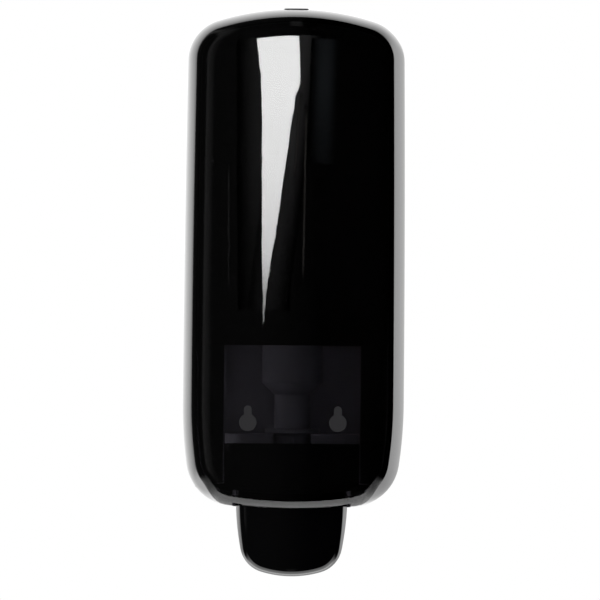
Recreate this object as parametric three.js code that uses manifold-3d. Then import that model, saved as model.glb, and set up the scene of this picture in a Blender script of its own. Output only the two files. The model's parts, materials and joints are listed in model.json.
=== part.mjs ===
// Wall-mounted push-bar soap dispenser with a hinged, locking cover and a pump refill.
//
// Millimetres. +Z is up, the front faces -Y, X runs to the right, and the wall is the plane y = 0.
// While the pieces are made, a height is measured from the floor of the drip line, a few
// millimetres under the push bar. The finished group is then lowered, so that the origin lies
// on the wall face at the middle of the back plate.
import * as THREE from 'three';
import { mergeVertices } from 'three/addons/utils/BufferGeometryUtils.js';
import Module from 'manifold-3d';

const wasm = await Module();
wasm.setup();

// ---------------------------------------------------------------- driving dimensions

// General clearances
const runGap = 0.3; // between pieces that touch or slide
const pinGap = 0.3; // between a pin and its hole
const weld = 0.5; // how far one feature of a moulding runs into the next
const cutClear = 1; // how far a cut runs past the face it opens
const chamfer = 0.6;
const turnSteps = 20; // facets round a turned piece
const smallTurnSteps = 14; // facets round a small piece inside the pump
const heelSteps = 40; // facets round the heel of the cover
const screwSteps = 12;
const screwHeadSteps = 16;

// Cover, as an outline seen from the front and a profile from the wall to the front
const coverBottom = 36.4;
const coverTop = 291.2;
const coverHalfWidth = 56.5;
const coverWidestHeight = 90;
const coverSideRadiusUp = 13000;
const coverSideRadiusDown = 220;
const coverTopRadius = 133;
const coverTopCorner = 21.8;
const coverBottomRadius = 510;
const coverBottomCorner = 24.8;
const coverRear = 3;
const coverFront = 112;
const coverDraft = 5.3; // how much the outline shrinks between the wall and the front edge
const coverDraftPower = 1.5;
const coverEdgeRadius = 6;
const coverCrownAcross = 253;
const coverCrownAlong = 1320;
const coverCrownHeight = 165;
const coverWall = 2.5;

// Liner behind the upper cover, which leaves the window below it
const linerWall = 1.6;
const linerGap = 0.4;
const linerRearGap = 1; // between the liner's rear edge and the plate's rim
const windowTop = 119.6;

// Back plate
const plateGap = 1.5; // between the plate's edge and the cover's inner face
const plateThickness = 2.5;
const plateRimHeight = 9.5;
const plateRimWall = 2;
const plateRimBottom = 76;
const ribWall = 2;
const edgeRibX = 35;
const edgeRibHeight = 4.5;
const edgeRibBottom = 92;
const edgeRibHeadroom = 29.2; // from a rib's top to the top of the cover
const edgeRibTop = coverTop - edgeRibHeadroom;
const backRibX = 15;
const backRibBottom = 132;
const backRibHeadroom = 41.2;
const backRibTop = coverTop - backRibHeadroom;
const originHeight = 165;

// Keyholes, two low and two high
const keyholeX = 22.9;
const keyholeHeadroom = 59.2; // from the high pair to the top of the cover
const keyholeHeights = [80, coverTop - keyholeHeadroom];
const keyholeRadius = 4.5;
const keyholeSlotWidth = 4;
const keyholeSlotLength = 8.6;

// Cover hinge
const hingeDepth = 19;
const hingeHeight = 52;
const hingePinRadius = 2;
const hingeBossRadius = 5;
const hingeHeelGap = 0.1; // between the sole's wall and the circle that its heel swings on
const hingeHeelRadius = hingeHeight - coverBottom + hingeHeelGap;
const hingeEarInset = 17.1; // from the cover's side to the middle of an ear
const hingeEarX = coverHalfWidth - hingeEarInset;
const hingeEarWall = 3.5;
const hingeEarFoot = [74, 92];
const hingeLugReach = 8;
const hingePinReach = 6;

// Refill shelf
const shelfEarGap = 3.65; // between the shelf and a hinge ear
const shelfHalfWidth = hingeEarX - hingeEarWall / 2 - shelfEarGap;
const shelfTop = 74.7;
const shelfDepth = 72;
const shelfThickness = 3;
const shelfSkirt = 7;
const shelfSkirtWall = 2;
const shelfCorner = 10;
const shelfFlangeBottom = 60;
const shelfFlangeWall = 2.5;
const shelfScrewInset = 9; // from the side of the shelf
const shelfScrewX = shelfHalfWidth - shelfScrewInset;
const shelfScrewHeight = 64;
const gussetInset = 2; // from the side of the shelf to its outer gusset
const gussetX = [15, shelfHalfWidth - gussetInset];
const gussetReach = 32;

// Refill: bottle and neck
const pumpDepth = 55;
const bottleSideRoom = 13.5; // between the bottle and the cover's side
const bottleHalfWidth = coverHalfWidth - bottleSideRoom;
const bottleHalfDepth = 38;
const bottleBottom = 122;
const bottleHeadroom = 37.2; // for the lock, over the bottle
const bottleTop = coverTop - bottleHeadroom;
const bottleCorner = 16;
const bottleTopRound = 15;
const bottleFootRound = 6;
const neckRadius = 12.6;
const neckBore = 8;
const neckBoreDepth = 8;

// Refill: pump
const capRadius = 15.5;
const capTop = 119.5;
const capFloorTop = 103;
const capFloor = 2.5;
const capBottom = capFloorTop - capFloor;
const gasketThickness = 1.4;
const neckBottom = capFloorTop + gasketThickness + 2 * runGap;
const barrelRadius = 9.2;
const chamberRadius = 6.5;
const chamberTop = 96.5;
const pumpShoulder = 2;
const ballPocketRadius = 3;
const ballSeatThickness = 2.2;
const ballPocketTop = capFloorTop - ballSeatThickness;
const ballSeatRise = 1;
const seatHoleRadius = 1.7;
const ballRadius = 2.3;
const ballGap = 0.1;
const retainerThickness = 1.3;
const seatFlangeRadius = 14;
const seatFlangeThickness = 2.5;
const lockFlangeRadius = 11.5;
const lockFlangeThickness = 2.7;
const glandLength = 3.6;
const stemRadius = 3.4;
const stemBore = 1.4;
const pistonBottom = 70;
const pistonLength = 4;
const sealWidth = 1.6;
const sealRadius = 5.1;
const sealSideGap = 0.2;
const sealBoreGap = 0.1;
const springRadius = 4.9;
const springWire = 0.45;
const springTurns = 7;
const collarBottom = 50;
const collarRadius = 9;
const collarThickness = 2.4;
const hubRadius = 5.2;
const hubLength = 5;
const spoutRadius = 3.5;
const spoutBottom = 40.9;
const spoutBore = 1.5;
const spoutTaper = 0.4;
const spoutTaperHeight = 2;
const valveRadius = 2.2;
const valveLength = 2.4;
const valveLip = 0.6;
const valveSlit = 0.6;

// Push bar
const barHalfWidth = 28.7;
const barPivotInset = 24; // from the front of the cover
const barPivotDepth = coverFront - barPivotInset;
const barPivotHeight = 56;
const barPivotToTop = 8;
const barTop = barPivotHeight + barPivotToTop;
const barBottom = 0.9;
const barWidestHeight = 42;
const barSideRadiusUp = 400;
const barSideRadiusDown = 175;
const barTopRadius = 300;
const barTopCorner = 8;
const barBottomRadius = 53;
const barBottomCorner = 16;
const barFrontInset = 12.6; // from the front of the cover
const barFront = coverFront - barFrontInset;
const barCrownAcross = 170;
const barCrownAlong = 190;
const barCrownHeight = 50;
const barDraft = 2.4;
const barDraftPower = 1.3;
const barEdgeRadius = 2.6;
const barWall = 2.4;
const barReach = 30; // of the bar's sides, behind its pivot
const barRear = barPivotDepth - barReach;
const barShoulderReach = 10; // the bar's side steps back below its boss
const barShoulderDrop = 6;
const barWingReach = 22; // and goes this far behind the pivot at its widest
const barWingDrop = 10;
const barWingHeight = 6;
const barTipReach = 4; // rear edge of the side at the tip
const barPinRadius = 2;
const barPinBoss = 4.6;
const barGap = 1.2; // between the bar and the opening or the cheeks it swings between

// Carrier that holds the push bar inside the cover
const carrierWall = 2;
const carrierAboveBar = 6;
const carrierTop = barTop + carrierAboveBar;
const carrierHalfWidth = 34;
const carrierFootHalfWidth = 42;
const carrierReach = 26; // of the pan, behind the bar's pivot
const carrierRear = barPivotDepth - carrierReach;
const carrierWebAhead = 6; // of the pivot
const carrierWebRear = barPivotDepth + carrierWebAhead;
const cheekWall = 3;
const cheekReach = 8;
const cheekRear = barPivotDepth - cheekReach;
const cheekBottom = 46.5;
const cheekTopDrop = 3; // under the top of the carrier
const cheekOverlap = 8; // of a cheek and the web, and of a cheek over the pin
const panHeight = 3;
const carrierScrewX = 34.5;
const carrierScrewInset = 10; // from the pan's rear edge
const carrierScrewDepth = carrierRear + carrierScrewInset;
const carrierScrewRise = 11.8; // from the foot of the cover to the screw's seat
const carrierScrewLength = 5;
const openingBehind = 11; // of the pump's axis
const openingRear = pumpDepth - openingBehind;
const openingAhead = 1.8; // of the bar's face
const openingFront = barFront + openingAhead;

// Lift fork
const forkWebTop = 48.4;
const forkWebAhead = 6; // of the pivot
const forkWebBehind = 12;
const forkThickness = 3;
const forkArmWidth = 4.9;
const forkSlotHalfWidth = 4.6;
const forkNoseRadius = 2.5;
const forkEarWall = 3;

// Lock
const lockDepth = 24;
const lockSleeveRadius = 6.4;
const lockSleeveProud = 0.4; // above the top of the cover
const lockSleeveLength = 19.6;
const lockSleeveTop = coverTop + lockSleeveProud;
const lockSleeveBottom = lockSleeveTop - lockSleeveLength;
const lockBarrelDrop = 0.5; // under the top of the sleeve
const lockNutDrop = 1.6; // under the liner, for the fall of its crown
const lockBarrelRadius = 4.6;
const lockStubRadius = 3;
const lockLipThickness = 1.3;
const keySlotLength = 5.2;
const keySlotWidth = 1.4;
const keySlotDepth = 5;
const lockNutRadius = 9.2;
const lockNutThickness = 2.8;
const camThickness = 3;
const camRadius = 14;
const camTipLength = 3;
const camTipHeight = 7;
const camArmWidth = 6;
const strikeHalfWidth = 4.2;
const strikeWall = 2;
const strikeFoot = 1.5;
const strikeFootLength = 12.6; // below its roof
const strikeScrewDrop = 8.1; // below its roof
const strikeNotch = 12; // half the width of the break in the plate's rim over the hook
const strikeGapAcross = 1.5; // between the cam's tip and the lip it turns in behind
const strikeGapUp = 0.9; // over the cam's tip, and between the cam's arm and the lip
const camTop = lockSleeveBottom - runGap;
const camBottom = camTop - camThickness;
const strikeReach = lockDepth - camRadius + camTipLength + strikeGapAcross + strikeWall;
const strikeTop = camBottom + camTipHeight + strikeGapUp + strikeWall;
const strikeBottom = camTop + strikeGapUp;

// Screws
const screwRadius = 1.4;
const screwHeadRadius = 2.8;
const screwHeadThickness = 1.8;
const camScrewLength = 6;

// ---------------------------------------------------------------- solids

function solid(geometry) {
  const bare = geometry.clone();
  bare.deleteAttribute('normal');
  bare.deleteAttribute('uv');
  const merged = mergeVertices(bare, 1e-4);
  const position = merged.attributes.position;
  const source = merged.index.array;
  const triangles = [];
  for (let i = 0; i < source.length; i += 3) {
    const [a, b, c] = [source[i], source[i + 1], source[i + 2]];
    if (a !== b && b !== c && c !== a) {
      triangles.push(a, b, c);
    }
  }
  if (enclosedVolume(position, triangles) < 0) {
    triangles.reverse();
  }
  return new wasm.Manifold(new wasm.Mesh({
    numProp: 3,
    vertProperties: new Float32Array(position.array),
    triVerts: new Uint32Array(triangles),
  }));
}

function enclosedVolume(position, triangles) {
  const a = new THREE.Vector3();
  const b = new THREE.Vector3();
  const c = new THREE.Vector3();
  let sixfold = 0;
  for (let i = 0; i < triangles.length; i += 3) {
    a.fromBufferAttribute(position, triangles[i]);
    b.fromBufferAttribute(position, triangles[i + 1]);
    c.fromBufferAttribute(position, triangles[i + 2]);
    sixfold += a.dot(b.cross(c));
  }
  return sixfold / 6;
}

function geometryOf(manifold) {
  const mesh = manifold.getMesh();
  const geometry = new THREE.BufferGeometry();
  const corners = new Float32Array(mesh.numVert * 3);
  for (let i = 0; i < mesh.numVert; i += 1) {
    corners.set(mesh.vertProperties.slice(i * mesh.numProp, i * mesh.numProp + 3), i * 3);
  }
  geometry.setAttribute('position', new THREE.BufferAttribute(corners, 3));
  geometry.setIndex(new THREE.BufferAttribute(new Uint32Array(mesh.triVerts), 1));
  geometry.computeVertexNormals();
  return geometry;
}

function joined(first, ...rest) {
  return rest.reduce((sum, next) => sum.add(next), first);
}

function cutBy(body, ...tools) {
  return tools.reduce((left, tool) => left.subtract(tool), body);
}

// A box between two limits on each axis.
function block([x0, x1], [y0, y1], [z0, z1]) {
  const geometry = new THREE.BoxGeometry(x1 - x0, y1 - y0, z1 - z0);
  geometry.translate((x0 + x1) / 2, (y0 + y1) / 2, (z0 + z1) / 2);
  return solid(geometry);
}

// A closed profile of [radius, height] points turned about the vertical line through (x, y).
function turned(profile, x, y, steps = turnSteps) {
  const points = profile.map(([radius, height]) => new THREE.Vector2(radius, height));
  const geometry = new THREE.LatheGeometry([...points, points[0].clone()], steps);
  geometry.rotateX(Math.PI / 2);
  geometry.translate(x, y, 0);
  return solid(geometry);
}

// A rod along X, Y or Z between two limits.
function rod(axis, radius, [from, to], [u, v], steps = turnSteps) {
  const geometry = new THREE.CylinderGeometry(radius, radius, to - from, steps);
  const middle = (from + to) / 2;
  if (axis === 'x') {
    geometry.rotateZ(Math.PI / 2);
    geometry.translate(middle, u, v);
  } else if (axis === 'y') {
    geometry.translate(u, middle, v);
  } else {
    geometry.rotateX(Math.PI / 2);
    geometry.translate(u, v, middle);
  }
  return solid(geometry);
}

// A front outline, in X and height, extruded between two depths behind the front.
function frontPrism(shape, [y0, y1], curveSegments = 12) {
  const geometry = new THREE.ExtrudeGeometry(shape, { depth: y1 - y0, bevelEnabled: false, curveSegments });
  geometry.rotateX(Math.PI / 2);
  geometry.translate(0, y1, 0);
  return solid(geometry);
}

// A side outline, in Y and height, extruded between two X limits.
function sidePrism(shape, [x0, x1], curveSegments = 12) {
  const geometry = new THREE.ExtrudeGeometry(shape, { depth: x1 - x0, bevelEnabled: false, curveSegments });
  geometry.applyMatrix4(new THREE.Matrix4().makeBasis(
    new THREE.Vector3(0, 1, 0),
    new THREE.Vector3(0, 0, 1),
    new THREE.Vector3(1, 0, 0),
  ));
  geometry.translate(x0, 0, 0);
  return solid(geometry);
}

// A plan outline, in X and Y, extruded between two heights.
function planPrism(shape, [z0, z1], curveSegments = 12) {
  const geometry = new THREE.ExtrudeGeometry(shape, { depth: z1 - z0, bevelEnabled: false, curveSegments });
  geometry.translate(0, 0, z0);
  return solid(geometry);
}

function polygon(points) {
  return new THREE.Shape(points.map(([u, v]) => new THREE.Vector2(u, v)));
}

// A pan-head screw. Its head's inner face lies at `seat` and its shank runs by `length` along the axis.
function screw(axis, direction, seat, length, [u, v]) {
  const shankEnd = seat + direction * length;
  const headEnd = seat - direction * screwHeadThickness;
  const along = (end) => [Math.min(seat, end), Math.max(seat, end)];
  const shank = rod(axis, screwRadius, along(shankEnd), [u, v], screwSteps);
  const head = rod(axis, screwHeadRadius, along(headEnd), [u, v], screwHeadSteps);
  return shank.add(head);
}

// ---------------------------------------------------------------- moulded shells

// The centre of a corner arc that runs smoothly into two larger arcs that enclose it.
function cornerCentre(side, crown, radius, upward) {
  const a = side.radius - radius;
  const b = crown.radius - radius;
  const dx = crown.x - side.x;
  const dz = crown.z - side.z;
  const distance = Math.hypot(dx, dz);
  const along = (a * a - b * b + distance * distance) / (2 * distance);
  const across = Math.sqrt(a * a - along * along);
  const options = [1, -1].map((sign) => ({
    x: side.x + (dx * along - sign * dz * across) / distance,
    z: side.z + (dz * along + sign * dx * across) / distance,
    radius,
  }));
  return options.sort((p, q) => q.x - p.x + (upward ? q.z - p.z : p.z - q.z))[0];
}

function heading(from, to) {
  return Math.atan2(to.z - from.z, to.x - from.x);
}

// The right half of an outline as smooth arcs from the top down. Each arc has a centre, a radius
// and the first and last direction of its outward normal.
function outlineArcs(o) {
  const sideUp = { x: o.halfWidth - o.sideUp, z: o.widest, radius: o.sideUp };
  const sideDown = { x: o.halfWidth - o.sideDown, z: o.widest, radius: o.sideDown };
  const crown = { x: 0, z: o.top - o.topRadius, radius: o.topRadius };
  const sole = { x: 0, z: o.bottom + o.bottomRadius, radius: o.bottomRadius };
  const high = cornerCentre(sideUp, crown, o.topCorner, true);
  const low = cornerCentre(sideDown, sole, o.bottomCorner, false);
  const highTurn = heading(crown, high);
  const highEnd = heading(sideUp, high);
  const lowStart = heading(sideDown, low);
  const lowTurn = heading(sole, low);
  return [
    { ...crown, from: Math.PI / 2, to: highTurn, steps: o.crownSteps },
    { ...high, from: highTurn, to: highEnd, steps: o.cornerSteps },
    { ...sideUp, from: highEnd, to: 0, steps: o.sideSteps },
    { ...sideDown, from: 0, to: lowStart, steps: o.sideSteps },
    { ...low, from: lowStart, to: lowTurn, steps: o.cornerSteps },
    { ...sole, from: lowTurn, to: -Math.PI / 2, steps: o.crownSteps },
  ];
}

// The whole outline, drawn in by `inset` all round, as a closed ring of [x, z] points.
function outlineRing(arcs, inset) {
  const right = [];
  for (const arc of arcs) {
    for (let step = 0; step < arc.steps; step += 1) {
      const angle = THREE.MathUtils.lerp(arc.from, arc.to, step / arc.steps);
      const reach = arc.radius - inset;
      right.push([arc.x + reach * Math.cos(angle), arc.z + reach * Math.sin(angle)]);
    }
  }
  right[0][0] = 0;
  const last = arcs[arcs.length - 1];
  const sole = [0, last.z - last.radius + inset];
  const left = right.slice(1).map(([x, z]) => [-x, z]).reverse();
  return [...right, sole, ...left];
}

function ringShape(arcs, inset) {
  return polygon(outlineRing(arcs, inset));
}

// How far the front face stands from the wall at a point of the outline.
function frontDistance(form, x, z) {
  const across = x * x / (2 * form.crownAcross);
  const along = (z - form.crownHeight) ** 2 / (2 * form.crownAlong);
  return form.front - across - along;
}

// Rings of one moulded skin, from its rear edge round the front edge to the middle of the front,
// drawn in by `offset` on every side.
function skinRings(form, offset) {
  const edge = Math.max(form.edgeRadius - offset, 1);
  const frontOf = ([x, z]) => offset - frontDistance(form, x, z);
  const rings = [];
  for (let step = 0; step <= form.wallSteps; step += 1) {
    const t = step / form.wallSteps;
    const ring = outlineRing(form.arcs, offset + form.draft * t ** form.draftPower);
    rings.push(ring.map((p) => [p[0], THREE.MathUtils.lerp(-form.rear, frontOf(p) + edge, t), p[1]]));
  }
  for (let step = 1; step <= form.edgeSteps; step += 1) {
    const turn = (Math.PI / 2) * (step / form.edgeSteps);
    const ring = outlineRing(form.arcs, form.draft + offset + edge * (1 - Math.cos(turn)));
    rings.push(ring.map((p) => [p[0], frontOf(p) + edge * (1 - Math.sin(turn)), p[1]]));
  }
  const border = outlineRing(form.arcs, form.draft + offset + edge);
  for (let step = 1; step <= form.faceSteps; step += 1) {
    const t = step / form.faceSteps;
    rings.push(border.map(([x, z]) => {
      const spine = THREE.MathUtils.clamp(z, form.spine[0], form.spine[1]);
      const p = [x * (1 - t), THREE.MathUtils.lerp(z, spine, t)];
      return [p[0], frontOf(p), p[1]];
    }));
  }
  return rings;
}

// Joins neighbouring rings by triangles.
function stitch(rings) {
  const count = rings[0].length;
  const corners = rings.flat(2);
  const index = [];
  for (let r = 0; r + 1 < rings.length; r += 1) {
    for (let i = 0; i < count; i += 1) {
      const next = (i + 1) % count;
      const a = r * count + i;
      const b = r * count + next;
      const c = a + count;
      const d = b + count;
      index.push(a, b, d, a, d, c);
    }
  }
  const geometry = new THREE.BufferGeometry();
  geometry.setAttribute('position', new THREE.Float32BufferAttribute(corners, 3));
  geometry.setIndex(index);
  return geometry;
}

// A domed shell, open at the rear, whose outer skin is drawn in by `offset`.
function mouldedShell(form, offset, wall) {
  const outer = skinRings(form, offset);
  const inner = skinRings(form, offset + wall);
  return solid(stitch([...outer.reverse(), ...inner]));
}

// All the room inside such a shell, as a solid.
function mouldedCore(form, offset) {
  const skin = skinRings(form, offset);
  const rear = skin[skin.length - 1].map(([x, , z]) => [x, -form.rear, z]);
  return solid(stitch([rear, ...skin]));
}

const coverForm = {
  arcs: outlineArcs({
    halfWidth: coverHalfWidth,
    widest: coverWidestHeight,
    sideUp: coverSideRadiusUp,
    sideDown: coverSideRadiusDown,
    top: coverTop,
    topRadius: coverTopRadius,
    topCorner: coverTopCorner,
    bottom: coverBottom,
    bottomRadius: coverBottomRadius,
    bottomCorner: coverBottomCorner,
    crownSteps: 5,
    cornerSteps: 6,
    sideSteps: 3,
  }),
  rear: coverRear,
  front: coverFront,
  crownAcross: coverCrownAcross,
  crownAlong: coverCrownAlong,
  crownHeight: coverCrownHeight,
  draft: coverDraft,
  draftPower: coverDraftPower,
  edgeRadius: coverEdgeRadius,
  spine: [coverBottom + coverHalfWidth, coverTop - coverHalfWidth],
  wallSteps: 3,
  edgeSteps: 4,
  faceSteps: 3,
};

const barForm = {
  arcs: outlineArcs({
    halfWidth: barHalfWidth,
    widest: barWidestHeight,
    sideUp: barSideRadiusUp,
    sideDown: barSideRadiusDown,
    top: barTop,
    topRadius: barTopRadius,
    topCorner: barTopCorner,
    bottom: barBottom,
    bottomRadius: barBottomRadius,
    bottomCorner: barBottomCorner,
    crownSteps: 4,
    cornerSteps: 4,
    sideSteps: 2,
  }),
  rear: barRear,
  front: barFront,
  crownAcross: barCrownAcross,
  crownAlong: barCrownAlong,
  crownHeight: barCrownHeight,
  draft: barDraft,
  draftPower: barDraftPower,
  edgeRadius: barEdgeRadius,
  spine: [barBottom + barHalfWidth, barTop - barHalfWidth],
  wallSteps: 3,
  edgeSteps: 3,
  faceSteps: 3,
};

// ---------------------------------------------------------------- finishes

const finishes = {
  smoke: { color: 0x0a0a0c, roughness: 0.06, metalness: 0 },
  black: { color: 0x0c0c0d, roughness: 0.12, metalness: 0 },
  charcoal: { color: 0x2c2b30, roughness: 0.55, metalness: 0 },
  steel: { color: 0xb9bcc0, roughness: 0.3, metalness: 1 },
  zinc: { color: 0x3a3a3d, roughness: 0.35, metalness: 0.9 },
  bottle: { color: 0xe6e8e6, roughness: 0.35, metalness: 0 },
  pump: { color: 0x1c1c20, roughness: 0.4, metalness: 0 },
  rubber: { color: 0x1a1a1a, roughness: 0.8, metalness: 0 },
};

const dispenser = new THREE.Group();

function addPiece(name, finish, manifold) {
  const mesh = new THREE.Mesh(geometryOf(manifold), new THREE.MeshStandardMaterial(finishes[finish]));
  mesh.name = name;
  dispenser.add(mesh);
}

// ---------------------------------------------------------------- back plate

const plateInset = coverWall + plateGap;

// Runs from the round hole up into the slot that a wall screw's neck slides into.
function keyhole(x, height) {
  const depths = [-plateThickness - cutClear, cutClear];
  const hole = rod('y', keyholeRadius, depths, [x, height]);
  const slotEnd = height + keyholeSlotLength - keyholeSlotWidth / 2;
  const slot = block([x - keyholeSlotWidth / 2, x + keyholeSlotWidth / 2], depths, [height, slotEnd]);
  const round = rod('y', keyholeSlotWidth / 2, depths, [x, slotEnd]);
  return joined(hole, slot, round);
}

function keyholes() {
  const pairs = keyholeHeights.map((height) => [-keyholeX, keyholeX].map((x) => keyhole(x, height)));
  return pairs.flat();
}

// An ear reaches down and forward from the plate, above the way of the cover's heel.
function hingeEar(side) {
  const [low, high] = hingeEarFoot;
  const root = -plateThickness + weld;
  const outline = new THREE.Shape();
  const toFoot = Math.atan2(low - hingeHeight, hingeDepth + root);
  const foot = Math.hypot(low - hingeHeight, hingeDepth + root);
  const under = toFoot - Math.acos(hingeBossRadius / foot);
  const over = Math.PI;
  outline.moveTo(root, low);
  outline.lineTo(root, high);
  outline.lineTo(-hingeDepth - hingeBossRadius, hingeHeight + hingeBossRadius);
  outline.lineTo(-hingeDepth - hingeBossRadius, hingeHeight);
  outline.absarc(-hingeDepth, hingeHeight, hingeBossRadius, over, under + 2 * Math.PI, false);
  outline.closePath();
  const centre = side * hingeEarX;
  const ear = sidePrism(outline, [centre - hingeEarWall / 2, centre + hingeEarWall / 2], 10);
  const bore = rod('x', hingePinRadius + pinGap, [centre - hingeEarWall, centre + hingeEarWall],
    [-hingeDepth, hingeHeight]);
  return ear.subtract(bore);
}

const strikeBack = -plateThickness - runGap;
const strikeScrewHeight = strikeTop - strikeWall - strikeScrewDrop;

function strikeScrewHole(depths) {
  return rod('y', screwRadius + pinGap, depths, [0, strikeScrewHeight], screwSteps);
}

// A bent hook screwed to the head of the plate, which the lock's cam turns in behind.
function lockStrike() {
  const roofBottom = strikeTop - strikeWall;
  const hook = sidePrism(polygon([
    [strikeBack, roofBottom - strikeFootLength],
    [strikeBack, strikeTop],
    [-strikeReach, strikeTop],
    [-strikeReach, strikeBottom],
    [-strikeReach + strikeWall, strikeBottom],
    [-strikeReach + strikeWall, roofBottom],
    [strikeBack - strikeFoot, roofBottom],
    [strikeBack - strikeFoot, roofBottom - strikeFootLength],
  ]), [-strikeHalfWidth, strikeHalfWidth]);
  return hook.subtract(strikeScrewHole([strikeBack - strikeFoot - cutClear, 0]));
}

function backPlate() {
  const ribRoot = -plateThickness + weld;
  const sheet = frontPrism(ringShape(coverForm.arcs, plateInset), [-plateThickness, 0]);
  const rimDepths = [-plateThickness - plateRimHeight, ribRoot];
  const rimOuter = frontPrism(ringShape(coverForm.arcs, plateInset), rimDepths);
  const rimInner = frontPrism(ringShape(coverForm.arcs, plateInset + plateRimWall),
    [rimDepths[0] - cutClear, cutClear]);
  const rimRange = block([-coverHalfWidth, coverHalfWidth], [-coverFront, 0],
    [plateRimBottom, coverTop]);
  const notch = block([-strikeNotch, strikeNotch], [-coverFront, ribRoot], [strikeBottom, coverTop]);
  const rim = rimOuter.subtract(rimInner).intersect(rimRange).subtract(notch);
  const ribs = [-1, 1].flatMap((side) => [
    block([side * edgeRibX - ribWall / 2, side * edgeRibX + ribWall / 2],
      [-plateThickness - edgeRibHeight, ribRoot], [edgeRibBottom, edgeRibTop]),
    block([side * backRibX - ribWall / 2, side * backRibX + ribWall / 2],
      [-pumpDepth + bottleHalfDepth + runGap, ribRoot], [backRibBottom, backRibTop]),
  ]);
  const body = joined(sheet, rim, hingeEar(-1), hingeEar(1), ...ribs);
  const through = [-plateThickness - cutClear, cutClear];
  return cutBy(body, ...keyholes(), ...shelfScrewHoles(through), strikeScrewHole(through));
}

// ---------------------------------------------------------------- refill shelf

function shelfScrewHoles(depths) {
  const places = [-shelfScrewX, shelfScrewX];
  return places.map((x) => rod('y', screwRadius + pinGap, depths, [x, shelfScrewHeight], screwSteps));
}

function shelfOutline(inset) {
  const half = shelfHalfWidth - inset;
  const front = -shelfDepth + inset;
  const back = -plateThickness - runGap;
  const corner = shelfCorner - inset;
  const outline = new THREE.Shape();
  outline.moveTo(half, back);
  outline.lineTo(-half, back);
  outline.lineTo(-half, front + corner);
  outline.absarc(-half + corner, front + corner, corner, Math.PI, Math.PI * 1.5, false);
  outline.absarc(half - corner, front + corner, corner, Math.PI * 1.5, Math.PI * 2, false);
  outline.closePath();
  return outline;
}

// The slot that the pump's neck slides into from the front.
function shelfSlot(halfWidth, heights) {
  const outline = new THREE.Shape();
  outline.moveTo(halfWidth, -shelfDepth - cutClear);
  outline.lineTo(halfWidth, -pumpDepth);
  outline.absarc(0, -pumpDepth, halfWidth, 0, Math.PI, false);
  outline.lineTo(-halfWidth, -shelfDepth - cutClear);
  outline.closePath();
  return planPrism(outline, heights, 14);
}

function refillShelf() {
  const back = -plateThickness - runGap;
  const bottom = shelfTop - shelfSkirt;
  const slotHalf = barrelRadius + runGap;
  const whole = planPrism(shelfOutline(0), [bottom, shelfTop], 5);
  const hollow = planPrism(shelfOutline(shelfSkirtWall), [bottom - cutClear, shelfTop - shelfThickness], 5);
  const collar = shelfSlot(slotHalf + shelfSkirtWall, [bottom, shelfTop - shelfThickness + weld]);
  const trimmed = collar.intersect(planPrism(shelfOutline(0), [bottom, shelfTop], 5));
  const flange = block([-shelfHalfWidth, shelfHalfWidth], [back - shelfFlangeWall, back],
    [shelfFlangeBottom, shelfTop - weld]);
  const gusset = polygon([
    [back - weld, shelfFlangeBottom + weld],
    [back - weld, shelfTop - weld],
    [back - gussetReach, shelfTop - weld],
    [back - gussetReach, bottom],
    [back - shelfFlangeWall - weld, shelfFlangeBottom + weld],
  ]);
  const gussets = [-1, 1].flatMap((side) => gussetX.map((x) => (
    sidePrism(gusset, [side * x - ribWall / 2, side * x + ribWall / 2])
  )));
  const tray = joined(whole.subtract(hollow), trimmed, flange, ...gussets);
  const slot = shelfSlot(slotHalf, [bottom - cutClear, shelfTop + cutClear]);
  return cutBy(tray, slot, ...shelfScrewHoles([back - shelfFlangeWall - cutClear, 0]));
}

// ---------------------------------------------------------------- refill bottle

function bottlePlan(inset) {
  const arcs = [];
  const radius = bottleCorner - inset;
  const x = bottleHalfWidth - bottleCorner;
  const y = bottleHalfDepth - bottleCorner;
  const corners = [[x, y], [-x, y], [-x, -y], [x, -y]];
  const steps = 5;
  corners.forEach(([cx, cy], quarter) => {
    for (let step = 0; step <= steps; step += 1) {
      const angle = (Math.PI / 2) * (quarter + step / steps);
      arcs.push([cx + radius * Math.cos(angle), cy - pumpDepth + radius * Math.sin(angle)]);
    }
  });
  return arcs;
}

// Plan rings stacked from the foot to the head, rounded over at both ends.
function bottleBody() {
  const steps = 4;
  const rings = [];
  const addRing = (inset, height) => {
    rings.push(bottlePlan(inset).map(([x, y]) => [x, y, height]));
  };
  const centreRing = (height) => {
    rings.push(bottlePlan(0).map(() => [0, -pumpDepth, height]));
  };
  centreRing(bottleBottom);
  for (let step = 0; step <= steps; step += 1) {
    const turn = (Math.PI / 2) * (step / steps);
    addRing(bottleFootRound * (1 - Math.sin(turn)), bottleBottom + bottleFootRound * (1 - Math.cos(turn)));
  }
  for (let step = 0; step <= steps; step += 1) {
    const turn = (Math.PI / 2) * (step / steps);
    addRing(bottleTopRound * (1 - Math.cos(turn)), bottleTop - bottleTopRound * (1 - Math.sin(turn)));
  }
  centreRing(bottleTop);
  return solid(stitch(rings));
}

function refillBottle() {
  const neck = rod('z', neckRadius, [neckBottom, bottleBottom + weld], [0, -pumpDepth]);
  const bore = rod('z', neckBore, [neckBottom - cutClear, neckBottom + neckBoreDepth], [0, -pumpDepth]);
  return bottleBody().add(neck).subtract(bore);
}

// ---------------------------------------------------------------- refill pump

const seatFlangeBottom = shelfTop + runGap;
const lockFlangeTop = shelfTop - shelfSkirt - runGap;
const housingBottom = lockFlangeTop - lockFlangeThickness;
const glandBottom = housingBottom + runGap;
const glandTop = glandBottom + glandLength;
const glandOuter = chamberRadius - runGap;
const retainerTop = chamberTop - runGap;
const retainerBottom = retainerTop - retainerThickness;
const pistonTop = pistonBottom + pistonLength;
const collarTop = collarBottom + collarThickness;
const hubTop = collarBottom + hubLength;
const stemSocket = stemRadius + runGap;

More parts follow.
